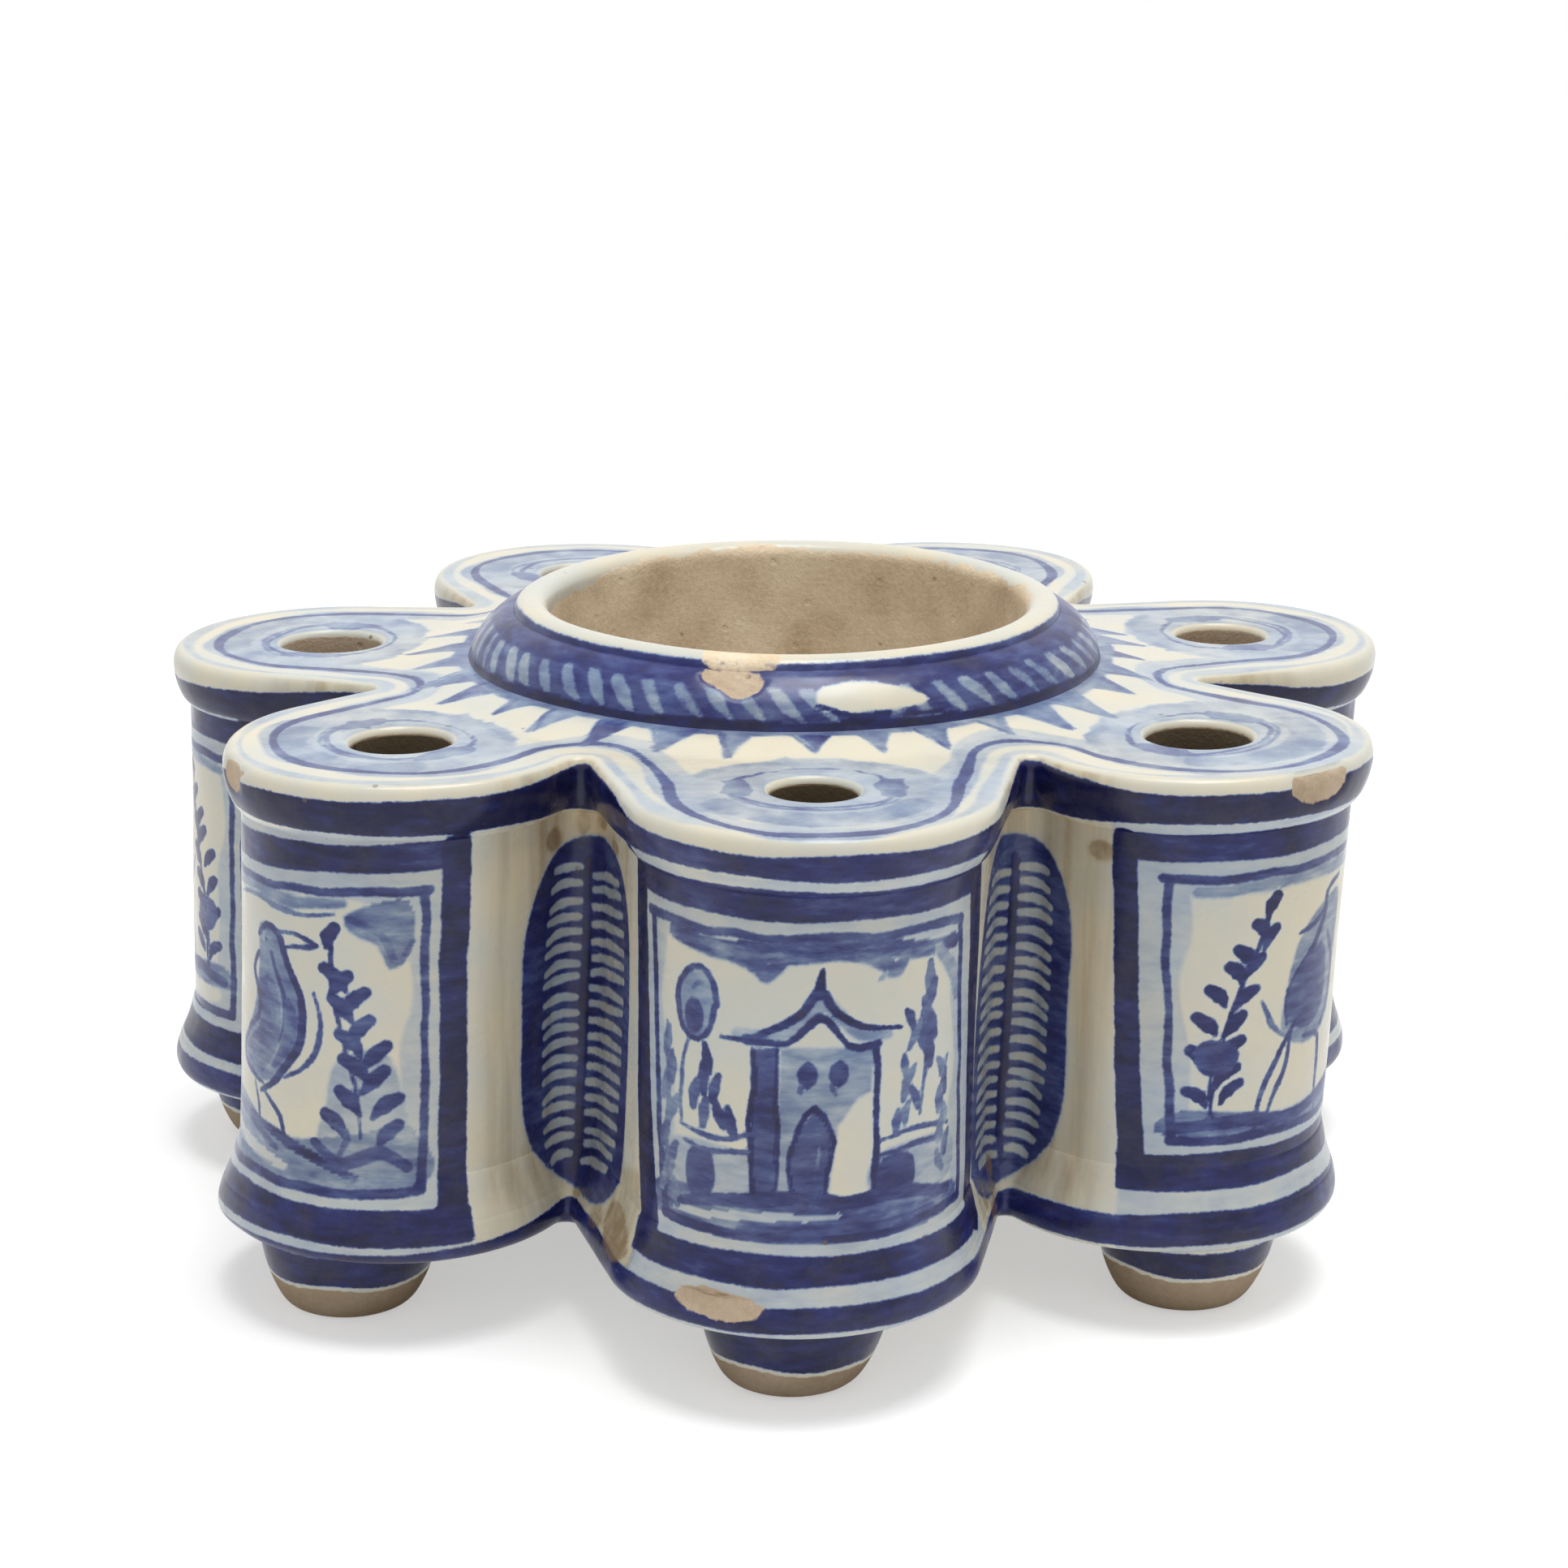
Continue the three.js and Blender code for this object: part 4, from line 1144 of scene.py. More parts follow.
def paintTopLine(whole, inset, girth):  # the blue line inside the edge, and the thin blue about it
    place = (girth + fullGirth / 2) % fullGirth - fullGirth / 2
    reach = topPainting["frontReach"]
    frontness = np.clip(1.25 - np.abs(place) / reach, 0, 1)
    rightness = np.clip(1.3 - np.abs(place - fullGirth / pot["lobes"]) / reach, 0, 1)
    line = topPainting["lineInset"] + slowWave(place, 0.4, 8.0, 0.3)
    line -= topPainting["frontCloser"] * frontness + topPainting["rightCloser"] * rightness
    halfWidth, swelling = topPainting["lineWidth"]
    width = halfWidth + swelling * np.sin(place / 5.1 + 1) + topPainting["frontWider"] * frontness
    reach, tone = topPainting["insideBlue"]
    inner = line + reach + slowWave(place, 0.9, 5.0, 2.0)
    lay(whole, "wash", slice(None), np.minimum(inset - line, inner - inset), tone)
    reach, tone = topPainting["aboutBlue"]
    lay(whole, "wash", slice(None), reach + slowWave(place, 0.8, 6.0, 1.1) - np.abs(inset - line), tone)
    lay(whole, "line", slice(None), width - np.abs(inset - line), topPainting["lineTone"])
    reach, tone = topPainting["edgeBlue"]
    lay(whole, "wash", slice(None), reach + slowWave(place, 0.5, 9.0, 4.0) - np.abs(inset + 0.2), tone)


def paintHoleRing(panel):  # the broken ring, its dark sides, and the thin blue that fills the lobe
    ringIn, ringOut = topPainting["ring"]
    hole = topSlab["holeCircle"]
    mid, size = (ringIn + ringOut) / 2, ringOut - ringIn
    circle = [(x * (1.12 if abs(x) > 6 else 1.0), u) for x, u in oval((0, hole), (mid, mid * 0.96), 16)]
    ring = circle + circle[:1]
    outerStroke = [(x * 1.1, hole + (u - hole) * 1.1) for x, u in circle[:9]]
    brush(panel, "wash", ring, size + 0.8, 0.52, press=(1, 0.85, 1.1, 0.9, 1))
    brush(panel, "line", ring, 1.0, 0.56, press=(1, 0.5, 1.1, 0.4, 1), wander=0.25)
    brush(panel, "line", outerStroke, 0.8, 0.5, press=(0.2, 1, 0.3), wander=0.25)
    for side in (-1, 1):
        patch(panel, "line", oval((side * 9.3, hole), (1.9, 4.4), 10), 0.5, ragged=0.3)
        tail = [(side * 10.2, hole + 0.4), (side * 13.4, hole + 1.2), (side * 16.8, hole + 1.6)]
        brush(panel, "wash", tail, 2.0, 0.5, press=(1.6, 0.9, 0.4))
    brush(panel, "wash", [(-10, 74.6), (-5, 78.0), (0, 79), (5, 78.0), (10, 74.6)], 3.2, 0.44,
          press=(0.6, 1, 0.6))
    patch(panel, "wash", oval((0, 66), (17.4, 14.6), 14), topPainting["thinBlue"], ragged=0.3)
    crescent = [(-14, 72), (-9, 77.4), (0, 80), (9, 77.4), (14, 72), (11, 69), (7, 74), (0, 75.6), (-7, 74),
                (-11, 69)]
    patch(panel, "wash", crescent, 0.36)
    brush(panel, "wash", [(-11.6, 74.6), (-6, 78.8), (0, 80.2), (6, 78.8), (11.6, 74.6)], 2.0, 0.36)
    brush(panel, "wash", [(-14, 59), (-9.4, 54.6), (-4, 53.2)], 1.9, 0.34)
    brush(panel, "wash", [(14, 59), (8.6, 54.2), (4, 53.4)], 1.8, 0.32)


def paintPetals(turned):  # pointed petals about the collar's foot, each with a stroke down its left side
    girth = topPainting["petalGirth"]
    step = 2 * math.pi / topPainting["petals"]
    root = topPainting["petalRoot"]
    for petal in range(topPainting["petals"]):
        middle = (-math.pi + step * (petal + 0.5) + handRandom.normal(0, 0.015)) * girth
        half = step * girth * handRandom.uniform(0.26, 0.4)
        tip = topPainting["petalTip"] + handRandom.uniform(-1.6, 1.6)
        waist = (root + tip) / 2
        outline = [(middle - half, root), (middle, root - 0.6), (middle + half, root),
                   (middle + half * 0.45, waist), (middle, tip), (middle - half * 0.55, waist)]
        patch(turned, "wash", outline, handRandom.uniform(0.44, 0.64))
        vein = [(middle - half * 0.8, root + 0.4), (middle - half * 0.3, waist), (middle + 0.3, tip - 0.8)]
        brush(turned, "line", vein, 0.9, handRandom.uniform(0.35, 0.6), press=(0.9, 0.7, 0.3))


def paintTop(canvas):
    spots = canvas["points"]
    whole = wholePanel(canvas)
    paintTopLine(whole, *outlineDistance(spots))
    halfWidth, leastReach = topPainting["lobePanel"]
    for lobe in range(pot["lobes"]):
        outwards, sideways = polar(1.0, lobeAngle(lobe)), polar(1.0, lobeAngle(lobe) + math.pi / 2)
        local = np.column_stack((spots @ sideways, spots @ outwards))
        index = np.flatnonzero((np.abs(local[:, 0]) < halfWidth) & (local[:, 1] > leastReach))
        paintHoleRing({"canvas": canvas, "index": index, "points": local[index]})
    radius = np.hypot(*spots.T)
    around = np.arctan2(spots[:, 1], spots[:, 0]) * topPainting["petalGirth"]
    paintPetals(dict(whole, points=np.column_stack((around, radius))))
    collarFoot = topPainting["collarFoot"] + slowWave(around, 0.4, 5, 1.0)
    lay(whole, "wash", slice(None), collarFoot - radius, topPainting["collarFootTone"])


# The rope on the collar: slanted commas left open in the blue
ropePainting = {
    "commas": 60,
    "reach": 41.0,
    "foot": 74,
    "low": 76.0,
    "high": 79.9,
    "slant": 4.4,
    "width": 1.7,
    "lineTone": 0.70,
    "washTone": 0.40,
    "footLine": (74.2, 76.2, 0.95),  # the heights of a darker line, and its tone
    "rimLine": (79.9, 0.78),
    "frontReach": 60,
    # a painted highlight, a white patch left open in the blue, and a chip: degrees from the front, and
    # heights
    "paintedHighlight": [(2, 79.7), (5, 80.3), (11, 80.5), (19, 79.4), (22.5, 77.8), (13, 77.2), (3.4, 77.4)],
    "chip": [(-20, 81.4), (-13, 81.6), (-7.6, 80.9), (-9, 79.4), (-12.4, 78.7), (-15.6, 79.7),
             (-18.6, 80.4)],
}


def paintCommas(canvas, girth):
    low = ropePainting["low"]
    for comma in range(ropePainting["commas"]):
        origin = -girth / 2 + girth * (comma + 0.5) / ropePainting["commas"] + handRandom.normal(0, 0.18)
        panel = panelOf(canvas, origin, 8, girth)
        slant = ropePainting["slant"] * handRandom.uniform(0.8, 1.15)
        high = ropePainting["high"] + handRandom.uniform(-0.35, 0.2)
        stroke = [(-slant / 2, high), (-slant * 0.1, (high + low) / 2 + 0.3), (slant / 2, low)]
        tone = handRandom.uniform(0.65, 0.95)
        brush(panel, "reserve", stroke, ropePainting["width"], tone, press=(0.9, 1.1, 0.35), wander=0.12)


def paintCollar(canvas):
    girth = 2 * math.pi * ropePainting["reach"]
    whole = wholePanel(canvas)
    along, up = whole["points"].T
    lay(whole, "line", slice(None), up - ropePainting["foot"], ropePainting["lineTone"])
    lay(whole, "wash", slice(None), up - ropePainting["foot"], ropePainting["washTone"])
    paintCommas(canvas, girth)
    lineLow, lineHigh, tone = ropePainting["footLine"]
    depth = np.minimum(up - lineLow, lineHigh + slowWave(along, 0.2, 4, 2) - up)
    lay(whole, "line", slice(None), depth, tone)
    lineLow, tone = ropePainting["rimLine"]
    lay(whole, "line", slice(None), up - lineLow - slowWave(along, 0.15, 5, 1), tone)
    front = panelOf(canvas, -girth / 4, ropePainting["frontReach"], girth)

    def spots(corners):  # degrees from the front become mm along
        return [(math.radians(turn) * ropePainting["reach"], height) for turn, height in corners]

    # a painted highlight on the rope's front: the blue and its thin wash are left off in a white patch
    paintedHighlight = spots(ropePainting["paintedHighlight"])
    patch(front, "reserve", paintedHighlight, 1.0)
    patch(front, "blank", paintedHighlight, 1.0)
    brush(front, "line", spots([(2, 78.0), (10, 76.5), (24, 76.4)]), 0.8, 0.9)
    brush(front, "reserve", spots([(15, 76.6), (20, 76.2), (26, 76.3)]), 0.5, 0.8)
    patch(front, "bare", spots(ropePainting["chip"]), 1.0)
    patch(front, "chip", spots(ropePainting["chip"]), 1.0)
    canvas["wash"] *= 1 - canvas["blank"]


footPainting = {
    "girth": 11,  # the radius at which a foot's painting is measured
    "edges": {0: 4.1, 1: 5.6, 6: 4.8},  # the height where the glaze ends, on the feet in front
    "plainEdge": 5.0,
    "paintGap": 0.6,  # cream between the glaze's end and the blue
    "lineTone": 0.95,
    "ringed": (1, 6, 3),
    "ring": 10.2,
    "ringHalf": 0.55,
    "ringTone": 0.75,
    # the height over which the bare clay darkens towards the foot's bottom, in mm
    "darkBottom": 1.3,
}


def paintFoot(canvas, lobe):
    along, up = canvas["points"].T
    whole = wholePanel(canvas)
    edge = footPainting["edges"].get(lobe, footPainting["plainEdge"]) + slowWave(along, 0.45, 5.0, lobe)
    lay(whole, "line", slice(None), up - edge - footPainting["paintGap"], footPainting["lineTone"])
    if lobe in footPainting["ringed"]:
        ring = footPainting["ring"] + slowWave(along, 0.2, 6.0, lobe)
        depth = footPainting["ringHalf"] - np.abs(up - ring)
        lay(whole, "reserve", slice(None), depth, footPainting["ringTone"])
    lay(whole, "bare", slice(None), edge - up, 1.0)
    darkBottom = np.clip((footPainting["darkBottom"] - up) / footPainting["darkBottom"], 0, 1)
    canvas["stainAndShade"] = np.maximum(canvas["stainAndShade"], darkBottom)


wellPainting = {
    "girth": 33,
    "lip": 35.2,  # the radius inside which the glaze thins to bare clay
    "outside": 36,
    "slabTop": 74,
    "glazeEdge": 82.2,
    "lower": 2.4,  # how much lower the glaze's edge hangs on one side
    "lowerAt": math.radians(200),
    "thinning": 2.2,
    "paintEdge": 82.35,
    "unpainted": -5.0,  # a depth well outside the blue
    "lineTone": 0.76,
    "chipAt": math.radians(-103),
    "chipReach": 12,
    "chipTone": 0.7,
    "chip": [(-4.5, 84), (4.5, 84), (3.6, 81), (-3, 81)],
}


def paintWell(canvas):  # glaze on the lip, thinning to bare clay inside
    along, up = canvas["points"].T
    radius, girth = canvas["radius"], wellPainting["girth"]
    edge = wellPainting["glazeEdge"] + slowWave(along, 0.5, 9.0, 0.5) + slowWave(along, 0.3, 3.0, 2.0)
    edge -= np.clip(np.cos(along / girth - wellPainting["lowerAt"]), 0, 1) * wellPainting["lower"]
    depth = np.where(radius < wellPainting["lip"], edge - up, -1.0)
    below = np.where(up < wellPainting["slabTop"], 1.0, 0.0)
    thinned = np.maximum(np.clip(0.5 + depth / wellPainting["thinning"], 0, 1),
                         below * (radius >= wellPainting["lip"]))
    outside = radius > wellPainting["outside"]
    canvas["bare"] = np.where(outside, below, thinned)
    lip = wellPainting["paintEdge"] + slowWave(along, 0.12, 9.0, 0)
    blue = np.minimum(up - wellPainting["slabTop"], lip - up)
    blue = np.where(outside, blue, wellPainting["unpainted"])
    lay(wholePanel(canvas), "line", slice(None), blue, wellPainting["lineTone"])
    front = panelOf(canvas, wellPainting["chipAt"] * girth, wellPainting["chipReach"])
    patch(front, "bare", wellPainting["chip"], wellPainting["chipTone"])


# Lay the paint on the pieces, before the pot leans
# of these layers, the brown one carries stains, and painted shade in the grooves and down the quill holes
layerNames = ("line", "lineTone", "wash", "washTone", "bare", "stainAndShade")
dressing = {
    "wallShown": -0.45,  # how far behind the wall's face a piece is still painted
    "floorShown": -2.2,
    "seam": (0.02, 0.6, 67.5),  # the nosing's least growth, and the inset and height of the seam under it
    "topFrom": 73.35,  # the height from which the top's own painting holds
    "underside": 72.5,
    "darkBrown": {0: 2.3, 1: 2.0, 6: 2.1, 2: 1.0, 5: 0.8},  # painted shade down in the quill holes, by lobe: darkest in the three in front
    "plainHoleShade": 1.5,
    "holeShadeReach": 7.4,
    "holeShadeBelow": 72.6,
    "chipDepth": 0.55,
}


def giveLayers(piece, layers):
    for name in layerNames:
        setAttribute(piece, name, layers[name])


def dentChips(piece, cover):
    startClean()
    piece.data.update()
    normals = np.empty(len(piece.data.vertices) * 3, np.float32)
    piece.data.vertex_normals.foreach_get("vector", normals)
    places = vertexPlaces(piece)
    grain = 0.8 + 0.2 * np.sin(places[:, 0] * 2.1) * np.sin(places[:, 2] * 2.7 + places[:, 1])
    deep = cover * dressing["chipDepth"] * grain
    moveVertices(piece, places - normals.reshape(-1, 3) * deep[:, None])


def slabLayers(layers, shown, places):  # the nosing keeps the wall's strokes, and the top has its own
    onTop = places[:, 2] > dressing["topFrom"]
    under = places[:, 2] < dressing["underside"]
    for name in layerNames:
        layers[name] = np.where(onTop, topCanvas[name], np.where(shown, layers[name], 0.0))
    layers["bare"] = np.maximum(layers["bare"], (under & ~shown).astype(float))
    # painted shade down in each quill hole: its clay is given a dark brown, set lobe by lobe
    for lobe in range(pot["lobes"]):
        hole = polar(topSlab["holeCircle"], lobeAngle(lobe))
        inHole = np.linalg.norm(places[:, :2] - hole, axis=1) < dressing["holeShadeReach"]
        inHole &= places[:, 2] < dressing["holeShadeBelow"]
        layers["stainAndShade"] = np.where(inHole, dressing["darkBrown"].get(lobe, dressing["plainHoleShade"]),
                                   layers["stainAndShade"])


outside = []
for piece in [*walls.values(), covePiece, floorPiece]:
    shown = getAttribute(piece, "grow") > dressing["floorShown" if piece == floorPiece else "wallShown"]
    outside.append((piece, getAttribute(piece, "girth"), vertexPlaces(piece)[:, 2], shown))
slabPlaces = vertexPlaces(slabPiece)
slabInset, slabGirth = outlineDistance(slabPlaces[:, :2])
leastGrow, seamInset, seamHeight = dressing["seam"]
onSeam = (slabInset < seamInset) & (slabPlaces[:, 2] < seamHeight)
outside.append((slabPiece, slabGirth, slabPlaces[:, 2],
                (getAttribute(slabPiece, "grow") > leastGrow) | onSeam))
wallCanvas = blankCanvas(np.concatenate([entry[1] for entry in outside]),
                         np.concatenate([entry[2] for entry in outside]))
paintWalls(wallCanvas)
paintChips(wallCanvas)
print("walls painted")
topCanvas = blankCanvas(*slabPlaces[:, :2].T)
paintTop(topCanvas)
start = 0
for piece, girth, _, shown in outside:
    rows = slice(start, start + len(girth))
    start += len(girth)
    layers = {name: wallCanvas[name][rows] for name in (*layerNames, "chip")}
    for name in ("line", "wash", "bare", "stainAndShade", "chip"):
        layers[name] = layers[name] * shown
    if piece == slabPiece:
        slabLayers(layers, shown, slabPlaces)
    giveLayers(piece, layers)
    dentChips(piece, layers["chip"])


def turnedCanvas(piece, girth, centre=(0.0, 0.0)):  # unrolled about a centre, at the radius given as girth
    places = vertexPlaces(piece)
    away = places[:, :2] - centre
    canvas = blankCanvas(np.arctan2(away[:, 1], away[:, 0]) * girth, places[:, 2])
    canvas["radius"] = np.hypot(*away.T)
    return canvas


for lobe, foot in enumerate(feet):
    canvas = turnedCanvas(foot, footPainting["girth"], footCentres[lobe])
    paintFoot(canvas, lobe)
    giveLayers(foot, canvas)
canvas = turnedCanvas(collarPiece, ropePainting["reach"])
paintCollar(canvas)
giveLayers(collarPiece, canvas)
dentChips(collarPiece, canvas["chip"])
canvas = turnedCanvas(wellPiece, wellPainting["girth"])
paintWell(canvas)
giveLayers(wellPiece, canvas)
print("top, collar, feet and well painted")


# Materials. One group lays cobalt over the glaze, one makes bare clay, one ages a surface.
def newGroup(name, inputs, outputs):
    group = bpy.data.node_groups.new(name, "ShaderNodeTree")
    for label, kind, value in inputs:
        socket = group.interface.new_socket(label, in_out="INPUT", socket_type=kind)
        if value is not None:
            socket.default_value = value
    for label, kind in outputs:
        group.interface.new_socket(label, in_out="OUTPUT", socket_type=kind)
    return group, group.nodes.new("NodeGroupInput"), group.nodes.new("NodeGroupOutput")


def feed(tree, node, sources):  # each socket gets a link from its source, or a value
    for socket, source in sources.items():
        if isinstance(source, bpy.types.NodeSocket):
            tree.links.new(source, node.inputs[socket])
        else:
            node.inputs[socket].default_value = source


def addNode(tree, kind, sources=None, **settings):
    node = tree.nodes.new(kind)
    for name, value in settings.items():
        setattr(node, name, value)
    feed(tree, node, sources or {})
    return node


def calculate(tree, operation, first, second, clamp=False):
    sources = {0: first, 1: second}
    return addNode(tree, "ShaderNodeMath", sources, operation=operation, use_clamp=clamp).outputs[0]


def plus(tree, first, second, clamp=False):
    return calculate(tree, "ADD", first, second, clamp)


def minus(tree, first, second):
    return calculate(tree, "SUBTRACT", first, second)


def times(tree, first, second):
    return calculate(tree, "MULTIPLY", first, second)


def noise(tree, place, scale, detail=3.0, roughness=0.55):
    sources = {"Vector": place, "Scale": scale, "Detail": detail, "Roughness": roughness}
    return addNode(tree, "ShaderNodeTexNoise", sources).outputs[0]


def stretchedNoise(tree, place, scales, detail):
    stretched = addNode(tree, "ShaderNodeMapping", {"Vector": place, "Scale": scales}).outputs[0]
    return noise(tree, stretched, 1.0, detail)


def cells(tree, place, scale):  # distance from the middle of the nearest cell
    return addNode(tree, "ShaderNodeTexVoronoi", {"Vector": place, "Scale": scale}).outputs["Distance"]


def remap(tree, value, low, high, toLow=0.0, toHigh=1.0):
    sources = {"Value": value, "From Min": low, "From Max": high, "To Min": toLow, "To Max": toHigh}
    return addNode(tree, "ShaderNodeMapRange", sources, interpolation_type="SMOOTHSTEP").outputs[0]


def mixed(tree, share, first, second, blend="MIX"):
    sources = {0: share, 6: first, 7: second}
    return addNode(tree, "ShaderNodeMix", sources, data_type="RGBA", blend_type=blend).outputs[2]


def ramp(tree, value, stops):
    node = addNode(tree, "ShaderNodeValToRGB", {0: value})
    elements = node.color_ramp.elements
    while len(elements) < len(stops):
        elements.new(0.5)
    for element, (at, colour) in zip(elements, stops):
        element.position = at
        element.color = (*colour, 1)
    return node.outputs[0]


cobalt = {
    "stops": [(0.0, (0.75, 0.72, 0.61)), (0.2, (0.52, 0.57, 0.61)), (0.42, (0.225, 0.295, 0.43)),
              (0.62, (0.076, 0.104, 0.278)), (0.8, (0.022, 0.028, 0.148)), (1.0, (0.006, 0.007, 0.056))],
    "edgeRoughness": 0.34,  # how ragged a stroke's edge is
    "lineEdge": (0.28, 0.72),
    "washEdge": (0.12, 0.88),
    "fineScale": 1500,
    "middlingScale": 420,
    "broadScale": 120,
    "streakScales": (240, 240, 900),
    "streaks": 1.152,  # how much the tone changes in a stroke
    "washStreaks": 2.2,  # and how many times more in a wash
}
glaze = {  # tin glaze isn't even: warmer where it is thin, cooler where it is thick
    "cloudScale": 55,
    "cloudEdge": (0.3, 0.7),
    "cool": (0.90, 0.95, 1.01, 1),
    "warm": (1.05, 1.0, 0.91, 1),
    "runScales": (420, 420, 26),  # brown, streaked down the wall: stains, and the painted shade in the grooves
    "runEdge": (0.35, 0.72),
    "paleRun": (0.93, 0.84, 0.68, 1),
    "darkRun": (0.62, 0.50, 0.36, 1),
    "darkBrownEdge": (0.95, 1.8),
    "darkBrownMost": 0.8,
    "darkBrown": (0.25, 0.155, 0.075, 1),
}


def cobaltGroup():
    inputs = [("Position", "NodeSocketVector", None), ("Line", "NodeSocketFloat", 0.0),
              ("Line Tone", "NodeSocketFloat", 0.8), ("Wash", "NodeSocketFloat", 0.0),
              ("Wash Tone", "NodeSocketFloat", 0.3), ("Stain And Shade", "NodeSocketFloat", 0.0)]
    group, given, result = newGroup("cobaltOverGlaze", inputs, [("Color", "NodeSocketColor")])
    place, stainAndShade = given.outputs["Position"], given.outputs["Stain And Shade"]
    fine = noise(group, place, cobalt["fineScale"], 2.0)
    middling = noise(group, place, cobalt["middlingScale"])
    broad = noise(group, place, cobalt["broadScale"])
    halves = minus(group, times(group, plus(group, fine, middling), 0.5), 0.5)
    ragged = times(group, halves, cobalt["edgeRoughness"] * 2)
    line = remap(group, plus(group, given.outputs["Line"], ragged), *cobalt["lineEdge"])
    wash = remap(group, plus(group, given.outputs["Wash"], ragged), *cobalt["washEdge"])
    streak = stretchedNoise(group, place, cobalt["streakScales"], 3.0)
    pooling = minus(group, times(group, plus(group, streak, broad), 0.5), 0.5)
    shift = times(group, pooling, cobalt["streaks"])
    lineTone = plus(group, given.outputs["Line Tone"], shift)
    washShift = plus(group, times(group, shift, cobalt["washStreaks"]), 1.0)
    washTone = times(group, given.outputs["Wash Tone"], washShift)
    underLine = times(group, minus(group, 1.0, line), times(group, wash, washTone))
    amount = plus(group, times(group, line, lineTone), underLine, clamp=True)
    thin = remap(group, noise(group, place, glaze["cloudScale"], 4.0), *glaze["cloudEdge"])
    tint = mixed(group, thin, glaze["cool"], glaze["warm"])
    colour = mixed(group, 1.0, ramp(group, amount, cobalt["stops"]), tint, "MULTIPLY")
    run = remap(group, stretchedNoise(group, place, glaze["runScales"], 4.0), *glaze["runEdge"])
    brown = mixed(group, 1.0, colour, mixed(group, run, glaze["paleRun"], glaze["darkRun"]), "MULTIPLY")
    brownShare = times(group, calculate(group, "MINIMUM", stainAndShade, 1.0), minus(group, 1.0, amount))
    browned = mixed(group, brownShare, colour, brown)
    # dark brown where the layer runs high: the painted shade at the quill holes' lips, and the dark spots
    # and patches in the grooves
    cloudyDarkening = plus(group, stainAndShade, minus(group, middling, 0.5))
    darkBrown = remap(group, cloudyDarkening, *glaze["darkBrownEdge"], 0, glaze["darkBrownMost"])
    feed(group, result, {"Color": mixed(group, darkBrown, browned, glaze["darkBrown"])})
    return group


clay = {
    "stops": [(0.3, (0.40, 0.29, 0.19)), (0.48, (0.56, 0.43, 0.30)), (0.62, (0.66, 0.53, 0.39)),
              (0.75, (0.72, 0.61, 0.47))],
    "grainScale": 1400,
    "cloudScale": 90,
    "cloudShare": 0.7,
    "speckScale": 260,
    "speckEdge": (0.16, 0.07),
    "speckyScale": 110,
    "speckyEdge": (0.52, 0.6),
    "speckShare": 0.7,
    "speck": (0.23, 0.13, 0.07, 1),
    "speckDepth": 0.6,
}


def clayGroup():
    inputs = [("Position", "NodeSocketVector", None), ("Tint", "NodeSocketColor", (1, 1, 1, 1))]
    group, given, result = newGroup("bareClay", inputs,
                                    [("Color", "NodeSocketColor"), ("Height", "NodeSocketFloat")])
    place = given.outputs["Position"]
    grain = noise(group, place, clay["grainScale"], 4.0, 0.7)
    cloud = noise(group, place, clay["cloudScale"], 4.0)
    shade = plus(group, times(group, cloud, clay["cloudShare"]),
                 times(group, grain, 1 - clay["cloudShare"]))
    dark = remap(group, cells(group, place, clay["speckScale"]), *clay["speckEdge"])
    specky = remap(group, noise(group, place, clay["speckyScale"], 2.0), *clay["speckyEdge"])
    speckShare = times(group, times(group, dark, specky), clay["speckShare"])
    colour = mixed(group, speckShare, ramp(group, shade, clay["stops"]), clay["speck"])
    colour = mixed(group, 1.0, colour, given.outputs["Tint"], "MULTIPLY")
    height = minus(group, grain, times(group, dark, clay["speckDepth"]))
    feed(group, result, {"Color": colour, "Height": height})
    return group


ageing = {
    "pinScale": 190,
    "pinEdge": (0.085, 0.045),
    "pittedScale": 75,
    "pittedEdge": (0.56, 0.62),
    "pin": (0.16, 0.10, 0.06, 1),
    "pinDepth": 0.8,
    "dustScale": 240,
    "dustEdge": (0.42, 0.75),
    "dustShare": 0.07,
    "dust": (0.50, 0.43, 0.33, 1),
    "swellScale": 140,
    "sheenScale": 160,
    "sheenEdge": (0.3, 0.7),
    "roughness": (0.2, 0.33),
}


def ageingGroup():
    inputs = [("Position", "NodeSocketVector", None), ("Color", "NodeSocketColor", (1, 1, 1, 1)),
              ("Amount", "NodeSocketFloat", 0.6)]
    outputs = [("Color", "NodeSocketColor"), ("Height", "NodeSocketFloat"),
               ("Roughness", "NodeSocketFloat")]
    group, given, result = newGroup("glazeAge", inputs, outputs)
    place, amount = given.outputs["Position"], given.outputs["Amount"]
    pinhole = remap(group, cells(group, place, ageing["pinScale"]), *ageing["pinEdge"])
    pitted = remap(group, noise(group, place, ageing["pittedScale"], 2.0), *ageing["pittedEdge"])
    pinhole = times(group, times(group, pinhole, pitted), amount)
    colour = mixed(group, pinhole, given.outputs["Color"], ageing["pin"])
    dust = remap(group, noise(group, place, ageing["dustScale"], 5.0, 0.65), *ageing["dustEdge"])
    colour = mixed(group, times(group, dust, times(group, amount, ageing["dustShare"])), colour,
                   ageing["dust"])
    swell = noise(group, place, ageing["swellScale"], 2.0)
    height = minus(group, swell, times(group, pinhole, ageing["pinDepth"]))
    sheen = noise(group, place, ageing["sheenScale"])
    roughness = remap(group, sheen, *ageing["sheenEdge"], *ageing["roughness"])
    feed(group, result, {"Color": colour, "Height": height, "Roughness": roughness})
    return group


groups = {"cobalt": cobaltGroup(), "clay": clayGroup(), "age": ageingGroup()}


def useGroup(tree, name, sources):
    return addNode(tree, "ShaderNodeGroup", sources, node_tree=groups[name])


def newMaterial(name):
    material = bpy.data.materials.new(name)
    material.use_nodes = True
    return material, material.node_tree, material.node_tree.nodes["Principled BSDF"]


